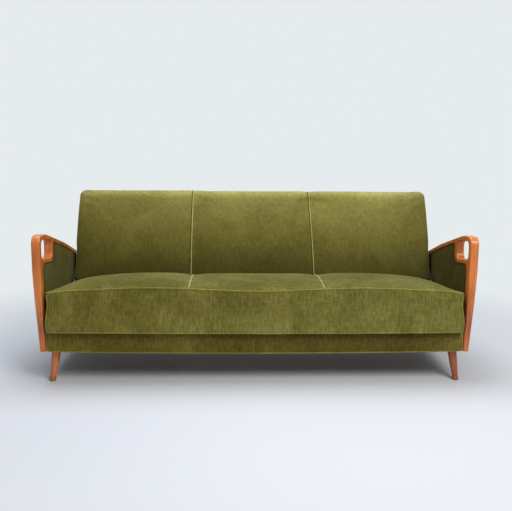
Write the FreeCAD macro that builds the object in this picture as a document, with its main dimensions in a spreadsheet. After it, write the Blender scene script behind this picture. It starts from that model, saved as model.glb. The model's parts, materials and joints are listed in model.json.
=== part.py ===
# Click-clack sofa bed: a sprung velvet seat and back on a shallow bedding box, between two
# slim beech arms with hand holes, on four splayed turned legs.
#
# Millimetres and degrees. +Z is up, the sofa faces -Y and +X is the right arm seen from the
# front. The origin is on the floor, under the middle of the sofa's width and depth.
# Seat and back both turn about one hinge line along X, where the seat meets the back.
import FreeCAD, Part
import math
import os
import re
from types import SimpleNamespace

import Sketcher
from FreeCAD import Placement, Rotation, Vector

DRIVING = {
    # seat
    "seat_width": 1900.0,          # sleeping length, along X
    "seat_depth": 540.0,
    "seat_bottom": 248.0,          # underside above the floor
    "seat_front_height": 446.0,    # piped front edge above the floor
    "seat_rear_height": 385.0,     # seat surface at the hinge line
    "seat_crown": 54.0,            # swell above the line from front edge to rear edge
    "seat_front_swell": 9.0,       # lift of the front edge in the middle of each half
    "seat_edge_roll": 15.0,
    "seat_edge_rise": 1.0,         # rear of the rolled edge above the piping
    "seat_draw_in": 3.5,           # hollow of the front and side faces between their seams
    "seat_hem": 12.0,              # unhollowed margin along the seams of the side faces
    "seam_dip": 9.0,               # depth of the sewn channels between the panels
    "swell_run": 70.0,             # how far in from a side edge the swell builds up
    "panel_count": 3.0,
    "side_cover": 8.0,             # upholstery outside the frame at the sides
    "front_cover": 15.0,
    "rear_cover": 13.0,
    "soft_gap": 0.3,               # clearance between an upholstered form and its frame
    # wooden frames of seat and back
    "rail_thick": 22.0,
    "seat_rail_deep": 60.0,
    "front_rail_wide": 46.0,
    "cross_rail_deep": 45.0,
    "cross_rail_place": 310.0,     # from the middle of the width
    "strap_wide": 50.0,
    "strap_thick": 2.0,
    "strap_overlap": 10.0,         # how far a strap reaches onto a rail
    "lap_margin": 1.0,             # how far a cutting form stands past what it cuts
    "core_inset": 42.0,
    "core_high": 54.0,
    # back
    "back_length": 520.0,
    "recline": 23.0,               # from upright
    "back_deep": 138.0,            # thickness at the hinge line
    "back_thin": 75.0,             # thickness at the top
    "back_crown": 35.0,
    "back_edge_roll": 42.0,
    "back_top_drop": 12.0,         # fall of the rolled top edge to the rear
    "back_corner": 30.0,
    "back_bottom_gap": 3.0,
    "back_frame_face": 40.0,       # front of the back frame behind the hinge line
    "back_frame_start": 8.0,
    "back_frame_long": 482.0,
    "lining_thick": 1.5,
    # hinge line and its plates, outwards from the side of the seat
    "hinge_gap": 5.0,              # from the rear of the seat to the hinge line
    "plate_thick": 3.0,
    "plate_gap": 0.3,
    "drum_gap": 0.4,
    "drum_thick": 4.0,
    "drum_radius": 26.0,
    "hub_radius": 26.0,
    "bracket_thick": 4.0,
    "pin_radius": 6.0,
    "pin_head_radius": 10.0,
    "pin_head_high": 2.5,
    "pin_notch_gap": 4.0,          # room for the pin head in the upholstery
    "running_gap": 0.06,
    "bracket_foot_gap": 12.0,      # bracket above the side of the box
    "leaf_long": 130.0,
    "leaf_high": 45.0,
    "seat_leaf_up": 7.0,           # leaf above the underside of the seat frame
    "seat_leaf_rear": 20.0,        # leaf in front of the seat's rear face
    "back_leaf_face": 52.0,
    "back_leaf_wide": 56.0,
    "back_leaf_start": 62.0,
    "back_leaf_long": 98.0,
    # bedding box
    "box_bottom": 150.0,
    "box_high": 93.0,
    "box_depth": 650.0,            # rear face of the box behind the front of the seat
    "board_thick": 20.0,
    "fascia_setback": 35.0,
    "fascia_thick": 6.0,
    "fascia_bow": 2.5,
    "fascia_end_gap": 5.0,
    "fascia_rise": 2.0,            # fascia above the top of the box
    "panel_thick": 5.0,
    "block_size": 90.0,
    "block_thick": 12.0,
    "bearer_wide": 40.0,
    "rest_size": 16.0,
    "rest_place": 300.0,           # inner seat buffers from the middle of the width
    "rest_outer_place": 870.0,
    "rest_gap": 0.3,
    "bumper_high": 6.0,
    "bumper_long": 20.0,
    # legs
    "leg_plate_size": 64.0,
    "leg_plate_thick": 3.0,
    "leg_top_radius": 21.5,
    "leg_foot_radius": 13.0,
    "leg_foot_inset": 15.0,        # foot centre in from the inner face of the arm
    "leg_foot_setback": 73.5,      # foot centre behind the front of the seat
    "leg_splay_side": 19.0,
    "leg_splay_front": 20.0,
    "ferrule_high": 20.0,
    "ferrule_wall": 1.0,
    "bolt_radius": 4.0,
    "bolt_in_leg": 30.0,
    "bolt_gap": 0.1,
    # arms
    "arm_thick": 38.0,             # at hand height
    "arm_thick_foot": 25.0,
    "arm_taper_drop": 5.0,         # below the loop, where the outer face starts to lean in
    "arm_front": 4.0,              # front edge behind the front of the seat
    "arm_foot_front": 30.0,
    "arm_knee_height": 430.0,
    "arm_height": 688.0,
    "arm_nose_radius": 70.0,
    "arm_nose_flat": 4.0,          # level run between the nose and the fall to the rear
    "arm_crest_setback": 120.0,
    "arm_crest_fall": 4.0,
    "loop_depth": 229.0,
    "loop_top_fall": 31.0,         # fall of the top from the highest point to the loop's rear
    "loop_round": 40.0,            # outer rounding under the rear of the loop
    "arm_rail_knee": 450.0,
    "arm_rail_knee_fall": 87.0,
    "arm_rail_end": 675.0,
    "arm_rail_end_fall": 157.0,
    "arm_rail_thick": 22.0,
    "arm_rail_end_round": 9.0,
    "post_depth": 48.0,
    "grip_front_wall": 32.0,
    "grip_rear_wall": 34.0,
    "grip_rear_lean": 4.0,         # top of the hole further to the rear than its bottom
    "grip_top_wall": 19.0,
    "grip_strip": 22.0,
    "grip_round": 27.0,
    "grip_strip_front_fall": 131.0,    # underside of the loop below the top of the arm
    "grip_strip_rear_fall": 147.0,
    "grip_heel": 38.0,             # height over which the post widens into the loop
    "grip_heel_out": 8.0,
    "arm_edge_ease": 3.0,          # chamfer round the broad faces
    "rear_post_depth": 65.0,
    "rear_post_end": 655.0,        # rear face behind the front of the seat
    "arm_panel_thick": 12.0,
    "arm_pad_thick": 6.5,
    "arm_pad_recess": 3.0,         # outer pad behind the outer face of the wood
    "arm_bolt_inset": 40.0,
    "arm_bolt_grip": 16.0,
    "arm_bolt_head_radius": 8.0,
    "arm_bolt_head_high": 4.0,
}

STRAP_COUNTS = (9, 3)              # across the sofa's width, and along it
ARM_BOLT_COUNT = 2
FILLET_SHARE = 0.45                # of the least wall beside it, the most a fillet may take
# shape of the crowned surfaces, as shares of the depth or height and of the full crown
SEAT_REAR_SHARES = (0.82, 0.8)
SEAT_CREST_SHARE = 0.56
SEAT_FRONT_SHARES = (0.26, 0.58)
BACK_CREST_SHARE = 0.47
BACK_EDGE_SHARE = 0.22
BACK_TOP_SHARE = 0.52
# how far the hinge plates' arms start from the hub's middle, as shares of its radius
HUB_SIDE = 0.9
HUB_LOW = 0.5
HUB_TOP = 0.3
TONGUE_SHARES = (0.7, 0.3)


def work_out(s):
    """Places and sizes that follow from the driving dimensions."""
    k = SimpleNamespace()
    lean = math.radians(s.recline)
    k.seat_half = s.seat_width / 2
    k.frame_half = k.seat_half - s.side_cover
    # depth, with Y = 0 half-way from the front of the seat to the top rear edge of the back
    k.back_top_rear = s.back_length - s.back_top_drop
    rear_reach = k.back_top_rear * math.sin(lean) + s.back_thin * math.cos(lean)
    k.front = -(s.seat_depth + s.hinge_gap + rear_reach) / 2
    k.seat_rear = k.front + s.seat_depth
    k.hinge_y = k.seat_rear + s.hinge_gap
    k.hinge_z = s.seat_rear_height
    # seat frame
    k.rail_front = k.front + s.front_cover
    k.rail_rear = k.seat_rear - s.rear_cover
    k.seat_rail_top = s.seat_bottom + s.seat_rail_deep
    k.side_rail_start = k.rail_front + s.front_rail_wide
    k.side_rail_end = k.rail_rear - s.rail_thick
    k.webbing_top = k.seat_rail_top + s.strap_thick
    # hinge stack, from the side of the seat to the inner face of the arm
    k.seat_plate_in = k.seat_half + s.plate_gap
    k.back_hub_in = k.seat_plate_in + s.plate_thick + s.plate_gap
    k.drum_in = k.back_hub_in + s.plate_thick + s.drum_gap
    k.bracket_in = k.drum_in + s.drum_thick
    k.arm_inner = k.bracket_in + s.bracket_thick
    k.pin_notch_radius = s.pin_head_radius + s.pin_notch_gap
    k.back_leaf_end = s.back_leaf_start + s.back_leaf_long
    # bedding box
    k.box_top = s.box_bottom + s.box_high
    k.fascia_front = k.front + s.fascia_setback
    k.board_front = k.fascia_front + s.fascia_thick
    k.box_inner_front = k.board_front + s.board_thick
    k.box_rear = k.front + s.box_depth
    k.box_inner_rear = k.box_rear - s.board_thick
    k.box_inner_half = k.arm_inner - s.board_thick
    k.box_panel_bottom = s.box_bottom + s.block_thick
    k.arm_bolt_z = s.box_bottom + s.box_high / 2
    # underside of the back when it lies flat, where it meets the rear board
    k.back_taper = (s.back_deep - s.back_thin) / (k.back_top_rear - s.back_bottom_gap)
    reach = k.box_inner_rear - k.hinge_y - s.back_bottom_gap
    flat_underside = k.hinge_z - (s.back_deep - k.back_taper * reach)
    k.bumper_top = flat_underside - s.rest_gap
    k.rear_board_top = k.bumper_top - s.bumper_high
    k.back_frame_end = s.back_frame_start + s.back_frame_long
    k.back_rear_start = s.back_deep - k.back_taper * (s.back_frame_start - s.back_bottom_gap)
    k.back_rear_end = k.back_rear_start - k.back_taper * s.back_frame_long
    # legs
    k.leg_top = s.box_bottom - s.leg_plate_thick
    k.leg_foot_x = k.arm_inner - s.leg_foot_inset
    k.leg_foot_y = k.front + s.leg_foot_setback
    k.leg_top_x = k.leg_foot_x - s.leg_splay_side
    k.leg_top_y = k.leg_foot_y + s.leg_splay_front
    k.box_middle = (k.fascia_front + k.box_rear) / 2
    # arms
    k.arm_outer = k.arm_inner + s.arm_thick
    k.arm_outer_foot = k.arm_inner + s.arm_thick_foot
    k.post_front = k.front + s.arm_front
    k.post_foot_front = k.front + s.arm_foot_front
    k.post_rear = k.post_front + s.post_depth
    k.post_foot_rear = k.post_foot_front + s.post_depth
    k.base_rail_top = k.box_top + 2 * s.rest_gap
    k.crest_y = k.front + s.arm_crest_setback
    k.crest_z = s.arm_height - s.arm_crest_fall
    k.nose_y = k.post_front + s.arm_nose_radius + s.arm_nose_flat
    k.loop_rear = k.front + s.loop_depth
    k.loop_top = s.arm_height - s.loop_top_fall
    k.knee_y = k.front + s.arm_rail_knee
    k.knee_z = s.arm_height - s.arm_rail_knee_fall
    k.rail_end_y = k.front + s.arm_rail_end
    k.rail_end_z = s.arm_height - s.arm_rail_end_fall
    k.rear_post_rear = k.front + s.rear_post_end
    k.rear_post_front = k.rear_post_rear - s.rear_post_depth
    fall = (k.knee_z - k.rail_end_z) / (k.rail_end_y - k.knee_y)
    k.rail_under_knee = k.knee_z - s.arm_rail_thick
    k.rail_under_loop = k.loop_top - s.arm_rail_thick
    k.rear_post_top_front = k.rail_under_knee - fall * (k.rear_post_front - k.knee_y)
    k.rear_post_top_rear = k.rail_under_knee - fall * (k.rear_post_rear - k.knee_y)
    # hand hole, inside the outline of the loop
    k.grip_front = k.post_front + s.grip_front_wall
    k.grip_rear = k.loop_rear - s.grip_rear_wall
    k.strip_front_z = s.arm_height - s.grip_strip_front_fall
    k.strip_rear_z = s.arm_height - s.grip_strip_rear_fall
    k.arm_taper_top = k.strip_rear_z - s.arm_taper_drop
    strip_fall = (k.strip_front_z - k.strip_rear_z) / (k.loop_rear - k.post_rear)
    k.grip_low_front = (k.strip_front_z + s.grip_strip
                        - strip_fall * (k.grip_front - k.post_rear))
    k.grip_low_rear = k.strip_rear_z + s.grip_strip + strip_fall * s.grip_rear_wall
    k.grip_high_front = s.arm_height - s.grip_top_wall
    top_fall = (k.crest_z - k.loop_top) / (k.loop_rear - k.crest_y)
    k.grip_high_rear = k.loop_top + top_fall * s.grip_rear_wall - s.grip_top_wall
    least_gap = min(k.grip_high_rear - k.grip_low_rear, k.grip_rear - k.grip_front)
    k.grip_round_fit = min(s.grip_round, FILLET_SHARE * least_gap)
    k.nose_round_fit = min(s.arm_nose_radius, FILLET_SHARE * 2 * (s.arm_height - s.arm_knee_height))
    k.post_heel_y = k.post_rear + s.grip_heel_out
    k.post_heel_z = k.strip_front_z - s.grip_heel
    k.panel_in = k.arm_inner + s.arm_pad_thick
    k.panel_out = k.panel_in + s.arm_panel_thick
    return k


doc = FreeCAD.newDocument("SofaBed")


def sheet_of(name, values):
    """A spreadsheet with one aliased cell for each value."""
    sheet = doc.addObject("Spreadsheet::Sheet", name)
    for row, (alias, value) in enumerate(values.items(), start=1):
        sheet.set(f"A{row}", alias)
        sheet.set(f"B{row}", repr(round(value, 9)))
        sheet.setAlias(f"B{row}", alias)
    doc.recompute()
    return sheet


sizes_sheet = sheet_of("Sizes", DRIVING)
S = SimpleNamespace(**{alias: float(sizes_sheet.get(alias)) for alias in DRIVING})
K = work_out(S)
places_sheet = sheet_of("Places", vars(K))
SHEET_OF = {alias: "Sizes" for alias in DRIVING} | {alias: "Places" for alias in vars(K)}


def bound(text):
    """An expression in which every alias names its sheet."""
    return re.sub(r"[a-z_]+", lambda m: f"{SHEET_OF[m[0]]}.{m[0]}" if m[0] in SHEET_OF
                  else m[0], str(text))


def bind(thing, **expressions):
    """Bind properties of an object to expressions; X, Y and Z stand for its place."""
    for name, text in expressions.items():
        path = f"Placement.Base.{name.lower()}" if name in "XYZ" else name
        thing.setExpression(path, bound(text))
    return thing


# ---------------------------------------------------------------- shapes

SUB_PARTS = []


def keep(thing, label, frame=None):
    """Name a finished sub-part and, for the back, turn it into its reclined place."""
    thing.Label = label
    if frame is not None:
        thing.Placement = frame
    SUB_PARTS.append(thing)
    return thing


def box(name, place, size):
    """A block from its lowest corner and its size."""
    block = doc.addObject("Part::Box", name)
    return bind(block, X=place[0], Y=place[1], Z=place[2],
                Length=size[0], Width=size[1], Height=size[2])


def rod(name, place, radius, length):
    """A round bar along +X from the middle of its inner end."""
    bar = doc.addObject("Part::Cylinder", name)
    bar.Placement.Rotation = Rotation(Vector(0, 1, 0), 90)
    return bind(bar, X=place[0], Y=place[1], Z=place[2], Radius=radius, Height=length)


def upright(name, place, radius, length):
    """A round bar along +Z from the middle of its lower end."""
    bar = doc.addObject("Part::Cylinder", name)
    return bind(bar, X=place[0], Y=place[1], Z=place[2], Radius=radius, Height=length)


def fuse(name, shapes):
    joined = doc.addObject("Part::MultiFuse", name)
    joined.Shapes = shapes
    joined.Refine = True
    return joined


def cut(name, base, tools):
    """The base less its tools."""
    result = doc.addObject("Part::Cut", name)
    result.Base = base
    result.Tool = tools[0] if len(tools) == 1 else group(name + "_tools", tools)
    return result


def group(name, shapes):
    """Separate solids kept together."""
    together = doc.addObject("Part::Compound", name)
    together.Links = shapes
    return together


def mirrored(name, source, normal=Vector(1, 0, 0), base=Vector(0, 0, 0)):
    """The same piece on the other side of a plane, by default the middle of the sofa."""
    twin = doc.addObject("Part::Mirroring", name)
    twin.Source = source
    twin.Normal = normal
    twin.Base = base
    return twin


def keep_pair(right, label):
    """Keep a right-hand piece and its left-hand twin."""
    keep(right, label + "_right")
    keep(mirrored(label + "_twin", right), label + "_left")


def both_sides(name, shapes):
    """Solids of the right side and their twins on the left, as one group."""
    return group(name, shapes + [mirrored(f"{shape.Name}_twin", shape) for shape in shapes])


def plane_of(body, role):
    return next(face for face in body.Origin.OriginFeatures if face.Role == role)


def sketch_on(body, role, name, offset):
    sketch = body.newObject("Sketcher::SketchObject", name)
    sketch.AttachmentSupport = (plane_of(body, role), [""])
    sketch.MapMode = "FlatFace"
    sketch.setExpression("AttachmentOffset.Base.z", bound(offset))
    return sketch


def hold_point(sketch, item, spot, corner):
    """Fix a point of the sketch at two expressions."""
    for kind, text in zip(("DistanceX", "DistanceY"), corner):
        number = sketch.addConstraint(Sketcher.Constraint(kind, -1, 1, item, spot, 1.0))
        sketch.setExpression(f"Constraints[{number}]", bound(text))


def ring_of_points(count):
    """Starting places for the corners of an outline, before its expressions hold them."""
    return [Vector(math.cos(math.tau * step / count), math.sin(math.tau * step / count), 0)
            for step in range(count)]


def polygon(body, role, name, loops, offset="0"):
    """A sketch of closed outlines whose corners are bound to the sheets."""
    sketch = sketch_on(body, role, name, offset)
    for corners in loops:
        first = sketch.GeometryCount
        count = len(corners)
        spots = ring_of_points(count)
        for start, end in zip(spots, spots[1:] + spots[:1]):
            sketch.addGeometry(Part.LineSegment(start, end), False)
        for step in range(count):
            sketch.addConstraint(Sketcher.Constraint(
                "Coincident", first + step, 2, first + (step + 1) % count, 1))
        for step, corner in enumerate(corners):
            hold_point(sketch, first + step, 1, corner)
    doc.recompute()
    return sketch


def circles(body, role, name, centres, radius, offset="0"):
    """A sketch of equal circles."""
    sketch = sketch_on(body, role, name, offset)
    for centre, spot in zip(centres, ring_of_points(len(centres))):
        item = sketch.addGeometry(Part.Circle(spot, Vector(0, 0, 1), 1.0), False)
        hold_point(sketch, item, 3, centre)
        number = sketch.addConstraint(Sketcher.Constraint("Radius", item, 1.0))
        sketch.setExpression(f"Constraints[{number}]", bound(radius))
    doc.recompute()
    return sketch


def pad(body, sketch, length):
    feature = body.newObject("PartDesign::Pad", sketch.Name + "_pad")
    feature.Profile = sketch
    feature.setExpression("Length", bound(length))
    doc.recompute()
    return feature


def pocket_through(body, sketch):
    feature = body.newObject("PartDesign::Pocket", sketch.Name + "_pocket")
    feature.Profile = sketch
    feature.Type = "ThroughAll"
    feature.Midplane = True
    doc.recompute()
    return feature


def round_edges(body, edges, radius, name):
    """Fillet the named edges of the body's last feature."""
    last = body.Tip
    feature = body.newObject("PartDesign::Fillet", name)
    feature.Base = (last, edges)
    feature.setExpression("Radius", bound(radius))
    doc.recompute()
    return feature


def ease_edges(body, edges, size, name):
    """Chamfer the named edges of the body's last feature."""
    last = body.Tip
    feature = body.newObject("PartDesign::Chamfer", name)
    feature.Base = (last, edges)
    feature.setExpression("Size", bound(size))
    doc.recompute()
    return feature


def corner_edges(shape, sketch, corners, near=0.01):
    """Straight edges along X through the numbered corners of a side outline."""
    spots = [sketch.Geometry[corner].StartPoint for corner in corners]
    found = []
    for number, edge in enumerate(shape.Edges, start=1):
        if edge.Curve.TypeId != "Part::GeomLine":
            continue
        a, b = (vertex.Point for vertex in edge.Vertexes)
        along_x = abs(a.y - b.y) < near and abs(a.z - b.z) < near
        if along_x and any(abs(a.y - spot.x) < near and abs(a.z - spot.y) < near
                           for spot in spots):
            found.append(f"Edge{number}")
    return found


def rim_edges(shape):
    """Edges of the two broad faces of a board that stands across X."""
    lean = S.arm_thick - S.arm_thick_foot
    found = []
    for number, edge in enumerate(shape.Edges, start=1):
        bounds = edge.BoundBox
        if bounds.XLength < lean + 1:
            found.append(f"Edge{number}")
    return found


# ---------------------------------------------------------------- bedding box and legs


def make_box():
    inner = "box_inner_rear - box_inner_front"
    keep(box("FrontBoard", ("-arm_inner", "board_front", "box_bottom"),
             ("2 * arm_inner", "board_thick", "box_high")), "box_front_board")
    keep(box("RearBoard", ("-arm_inner", "box_inner_rear", "box_bottom"),
             ("2 * arm_inner", "board_thick", "rear_board_top - box_bottom")), "box_rear_board")
    side = box("SideBoard", ("box_inner_half", "box_inner_front", "box_bottom"),
               ("board_thick", inner, "box_high"))
    bores = [rod(f"SideBoardBore{n}", ("box_inner_half - lap_margin", y, "arm_bolt_z"),
                 "bolt_radius + bolt_gap", "board_thick + 2 * lap_margin")
             for n, y in enumerate(ARM_BOLT_PLACES)]
    keep_pair(cut("BoredSideBoard", side, bores), "box_side")
    keep(box("BoxPanel", ("-box_inner_half", "box_inner_front", "box_panel_bottom"),
             ("2 * box_inner_half", inner, "panel_thick")), "box_bottom_panel")
    keep(group("Bearers", [
        box(f"Bearer{n}", (f"{share} * cross_rail_place - bearer_wide / 2", "box_inner_front",
                           "box_bottom"), ("bearer_wide", inner, "block_thick"))
        for n, share in enumerate((-1, 0, 1))]), "box_bearers")


def four_corners(name, front_right):
    """A front right-hand piece and its three twins."""
    middle = Vector(0, K.box_middle, 0)
    rear_right = mirrored(name + "Rear", front_right, Vector(0, 1, 0), middle)
    return [front_right, mirrored(name + "Left", front_right), rear_right,
            mirrored(name + "RearLeft", rear_right)]


def tapered(name, low, high, wall="0"):
    """A turned, splayed taper between two heights, its ends cut level."""
    rings = []
    for end, height in (("Low", low), ("High", high)):
        share = f"({height}) / leg_top"
        ring = doc.addObject("Part::Circle", name + end)
        bind(ring, X=f"leg_foot_x - leg_splay_side * {share}",
             Y=f"leg_foot_y + leg_splay_front * {share}", Z=height,
             Radius=f"leg_foot_radius + (leg_top_radius - leg_foot_radius) * {share} + {wall}")
        rings.append(ring)
    loft = doc.addObject("Part::Loft", name)
    loft.Sections = rings
    loft.Solid = True
    loft.Ruled = True
    return loft


def leg_bore(name):
    """Hole for a leg's hanger bolt, from inside the leg to above its plate."""
    return upright(name + "Bore", ("leg_top_x", "leg_top_y", "leg_top - bolt_in_leg"),
                   "bolt_radius + bolt_gap", "bolt_in_leg + leg_plate_thick + lap_margin")


def make_legs():
    """Turned legs on hanger bolts, with a plate and a block in each corner and a ferrule."""
    keep(group("Blocks", four_corners("Block", box(
        "Block", ("box_inner_half - block_size", "box_inner_front", "box_bottom"),
        ("block_size", "block_size", "block_thick")))), "corner_blocks")
    plate = box("LegPlate", ("leg_top_x - leg_plate_size / 2", "leg_top_y - leg_plate_size / 2",
                             "leg_top"), ("leg_plate_size", "leg_plate_size", "leg_plate_thick"))
    keep(group("LegPlates", four_corners("BoredPlate", cut(
        "BoredPlate", plate, [leg_bore("Plate")]))), "leg_plates")
    leg = cut("Leg", tapered("LegWood", "ferrule_high", "leg_top"), [leg_bore("Leg")])
    corners = four_corners("Leg", leg)
    keep(group("FrontLegs", corners[:2]), "front_legs")
    keep(group("RearLegs", corners[2:]), "rear_legs")
    keep(group("Ferrules", four_corners("Ferrule", tapered(
        "Ferrule", "0", "ferrule_high", "ferrule_wall"))), "leg_ferrules")
    bolt = upright("LegBolt", ("leg_top_x", "leg_top_y", "leg_top - bolt_in_leg"), "bolt_radius",
                   "bolt_in_leg + leg_plate_thick")
    keep(group("LegBolts", four_corners("LegBolt", bolt)), "leg_bolts")


def make_fascia():
    """Thin velvet-covered pad on the front board, slightly bowed to the front."""
    low, high = S.box_bottom, K.box_top + S.fascia_rise
    half = K.arm_inner - S.fascia_end_gap
    face = K.fascia_front + S.fascia_bow
    outline = [
        Part.LineSegment(Vector(-half, K.board_front, low), Vector(-half, K.board_front, high)),
        Part.LineSegment(Vector(-half, K.board_front, high), Vector(-half, face, high)),
        Part.Arc(Vector(-half, face, high), Vector(-half, K.fascia_front, (low + high) / 2),
                 Vector(-half, face, low)),
        Part.LineSegment(Vector(-half, face, low), Vector(-half, K.board_front, low)),
    ]
    wire = Part.Wire([edge.toShape() for edge in outline])
    pad_feature = doc.addObject("Part::Feature", "Fascia")
    pad_feature.Shape = Part.Face(wire).extrude(Vector(2 * half, 0, 0))
    keep(pad_feature, "fascia_pad")


def make_rests():
    """Rubber buffers under the seat's front rail, and under the back when it lies flat."""
    size = "rest_size"
    high = "seat_bottom - rest_gap - box_top"
    pads = [box(f"SeatRest{n}", (f"{place} - rest_size / 2",
                                 "board_front + board_thick - rest_size - rest_gap", "box_top"),
                (size, size, high))
            for n, place in enumerate(("rest_place", "rest_outer_place"))]
    right = [box(f"Bumper{n}", (x, "box_inner_rear", "rear_board_top"),
                 ("bumper_long", "board_thick", "bumper_high"))
             for n, x in enumerate(("cross_rail_place - bumper_long / 2",
                                    "frame_half - rail_thick / 2 - bumper_long / 2"))]
    keep(both_sides("RestBuffers", pads + right), "rest_buffers")


# ---------------------------------------------------------------- arms

ARM_BOLT_PLACES = [f"box_inner_front + arm_bolt_inset + {n} / {ARM_BOLT_COUNT - 1} * "
                   "(box_inner_rear - box_inner_front - 2 * arm_bolt_inset)"
                   for n in range(ARM_BOLT_COUNT)]


def arm_board(name, loops, start="arm_inner", thick="arm_thick"):
    """A board of the right arm: a side outline, thinned towards the foot on its outer face."""
    body = doc.addObject("PartDesign::Body", name)
    side = polygon(body, "YZ_Plane", name + "Side", loops, start)
    pad(body, side, thick)
    return body, side


def lean_outer_face(body, name, recess="0"):
    """Cut the wedge that makes an arm thinner towards its foot."""
    wedge = polygon(body, "XZ_Plane", name + "Wedge", [[
        (f"arm_outer_foot - {recess}", "box_bottom - lap_margin"),
        (f"arm_outer_foot - {recess}", "box_bottom"),
        (f"arm_outer - {recess}", "arm_taper_top"),
        (f"arm_outer - {recess}", "arm_height + lap_margin"),
        ("arm_outer + arm_thick", "arm_height + lap_margin"),
        ("arm_outer + arm_thick", "box_bottom - lap_margin")]])
    pocket_through(body, wedge)


def make_arm_post():
    """Front post that turns over into the loop round the hand hole, sawn from one board."""
    outer = [("post_foot_front", "box_bottom"), ("post_front", "arm_knee_height"),
             ("post_front", "arm_height"), ("nose_y", "arm_height"), ("crest_y", "crest_z"),
             ("loop_rear", "loop_top"), ("loop_rear", "strip_rear_z"),
             ("post_heel_y", "strip_front_z"), ("post_rear", "post_heel_z"),
             ("post_rear", "arm_knee_height"), ("post_foot_rear", "base_rail_top"),
             ("post_foot_rear", "box_bottom")]
    hole = [("grip_front", "grip_low_front"), ("grip_rear", "grip_low_rear"),
            ("grip_rear + grip_rear_lean", "grip_high_rear"), ("grip_front", "grip_high_front")]
    body, side = arm_board("ArmPost", [outer, hole])
    nose = outer.index(("post_front", "arm_height"))
    loop_corner = outer.index(("loop_rear", "strip_rear_z"))
    round_edges(body, corner_edges(body.Shape, side, [nose]), "nose_round_fit", "Nose")
    hole_corners = range(len(outer), len(outer) + len(hole))
    round_edges(body, corner_edges(body.Shape, side, hole_corners), "grip_round_fit", "Grip")
    round_edges(body, corner_edges(body.Shape, side, [loop_corner]), "loop_round", "Loop")
    lean_outer_face(body, "ArmPost")
    ease_edges(body, rim_edges(body.Shape), "arm_edge_ease", "PostRims")
    keep_pair(body, "arm_post")


def make_arm_rails():
    body, side = arm_board("ArmRail", [[
        ("loop_rear", "loop_top"), ("knee_y", "knee_z"), ("rail_end_y", "rail_end_z"),
        ("rail_end_y", "rail_end_z - arm_rail_thick"), ("knee_y", "rail_under_knee"),
        ("loop_rear", "rail_under_loop")]])
    round_edges(body, corner_edges(body.Shape, side, [2, 3]), "arm_rail_end_round", "RailEnd")
    rims = [edge for edge in rim_edges(body.Shape)
            if not on_plane_y(body.Shape, edge, K.loop_rear)]
    ease_edges(body, rims, "arm_edge_ease", "RailRims")
    keep_pair(body, "arm_rail")

    body, side = arm_board("RearPost", [[
        ("rear_post_front", "base_rail_top"), ("rear_post_rear", "base_rail_top"),
        ("rear_post_rear", "rear_post_top_rear"), ("rear_post_front", "rear_post_top_front")]])
    lean_outer_face(body, "RearPost")
    keep_pair(body, "arm_rear_post")

    body, side = arm_board("BaseRail", [[
        ("post_foot_rear", "box_bottom"), ("rear_post_rear", "box_bottom"),
        ("rear_post_rear", "base_rail_top"), ("post_foot_rear", "base_rail_top")]])
    lean_outer_face(body, "BaseRail")
    keep_pair(bored(body, "BoredBaseRail", [
        rod(f"BaseRailBore{n}", ("arm_inner - lap_margin", y, "arm_bolt_z"),
            "bolt_radius + bolt_gap", "arm_bolt_grip + 2 * lap_margin")
        for n, y in enumerate(ARM_BOLT_PLACES)]), "arm_base_rail")


def on_plane_y(shape, edge_name, y, near=0.01):
    """Whether an edge lies in a plane across Y."""
    bounds = shape.getElement(edge_name).BoundBox
    return abs(bounds.YMin - y) < near and abs(bounds.YMax - y) < near


def bored(body, name, bores):
    """A body with round holes, as one shape."""
    return cut(name, body, bores)


def make_arm_panels():
    """Upholstered board inside each arm, with a thin pad on both faces."""
    outline = [("post_foot_rear", "base_rail_top"), ("rear_post_front", "base_rail_top"),
               ("rear_post_front", "rear_post_top_front"), ("knee_y", "rail_under_knee"),
               ("loop_rear", "rail_under_loop"), ("loop_rear", "strip_rear_z"),
               ("post_heel_y", "strip_front_z"), ("post_rear", "post_heel_z"),
               ("post_rear", "arm_knee_height")]
    loop_corner = outline.index(("loop_rear", "strip_rear_z"))
    for name, start, thick, label in (
            ("PanelBoard", "panel_in", "arm_panel_thick", "arm_panel"),
            ("InnerPad", "arm_inner + soft_gap", "arm_pad_thick - soft_gap", "arm_pad_inner"),
            ("OuterPad", "panel_out", "arm_outer - panel_out", "arm_pad_outer")):
        body, side = arm_board(name, [outline], start, thick)
        round_edges(body, corner_edges(body.Shape, side, [loop_corner]), "loop_round",
                    name + "Loop")
        if label == "arm_pad_outer":
            lean_outer_face(body, name, "arm_pad_recess")
        keep_pair(body, label)


def make_arm_bolts():
    bolts = []
    for n, y in enumerate(ARM_BOLT_PLACES):
        head = rod(f"ArmBoltHead{n}", ("box_inner_half - arm_bolt_head_high", y, "arm_bolt_z"),
                   "arm_bolt_head_radius", "arm_bolt_head_high")
        shank = rod(f"ArmBoltShank{n}", ("box_inner_half", y, "arm_bolt_z"), "bolt_radius",
                    "board_thick + arm_bolt_grip")
        bolts.append(fuse(f"ArmBolt{n}", [head, shank]))
    keep(both_sides("ArmBolts", bolts), "arm_bolts")


# ---------------------------------------------------------------- hinge line

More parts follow.
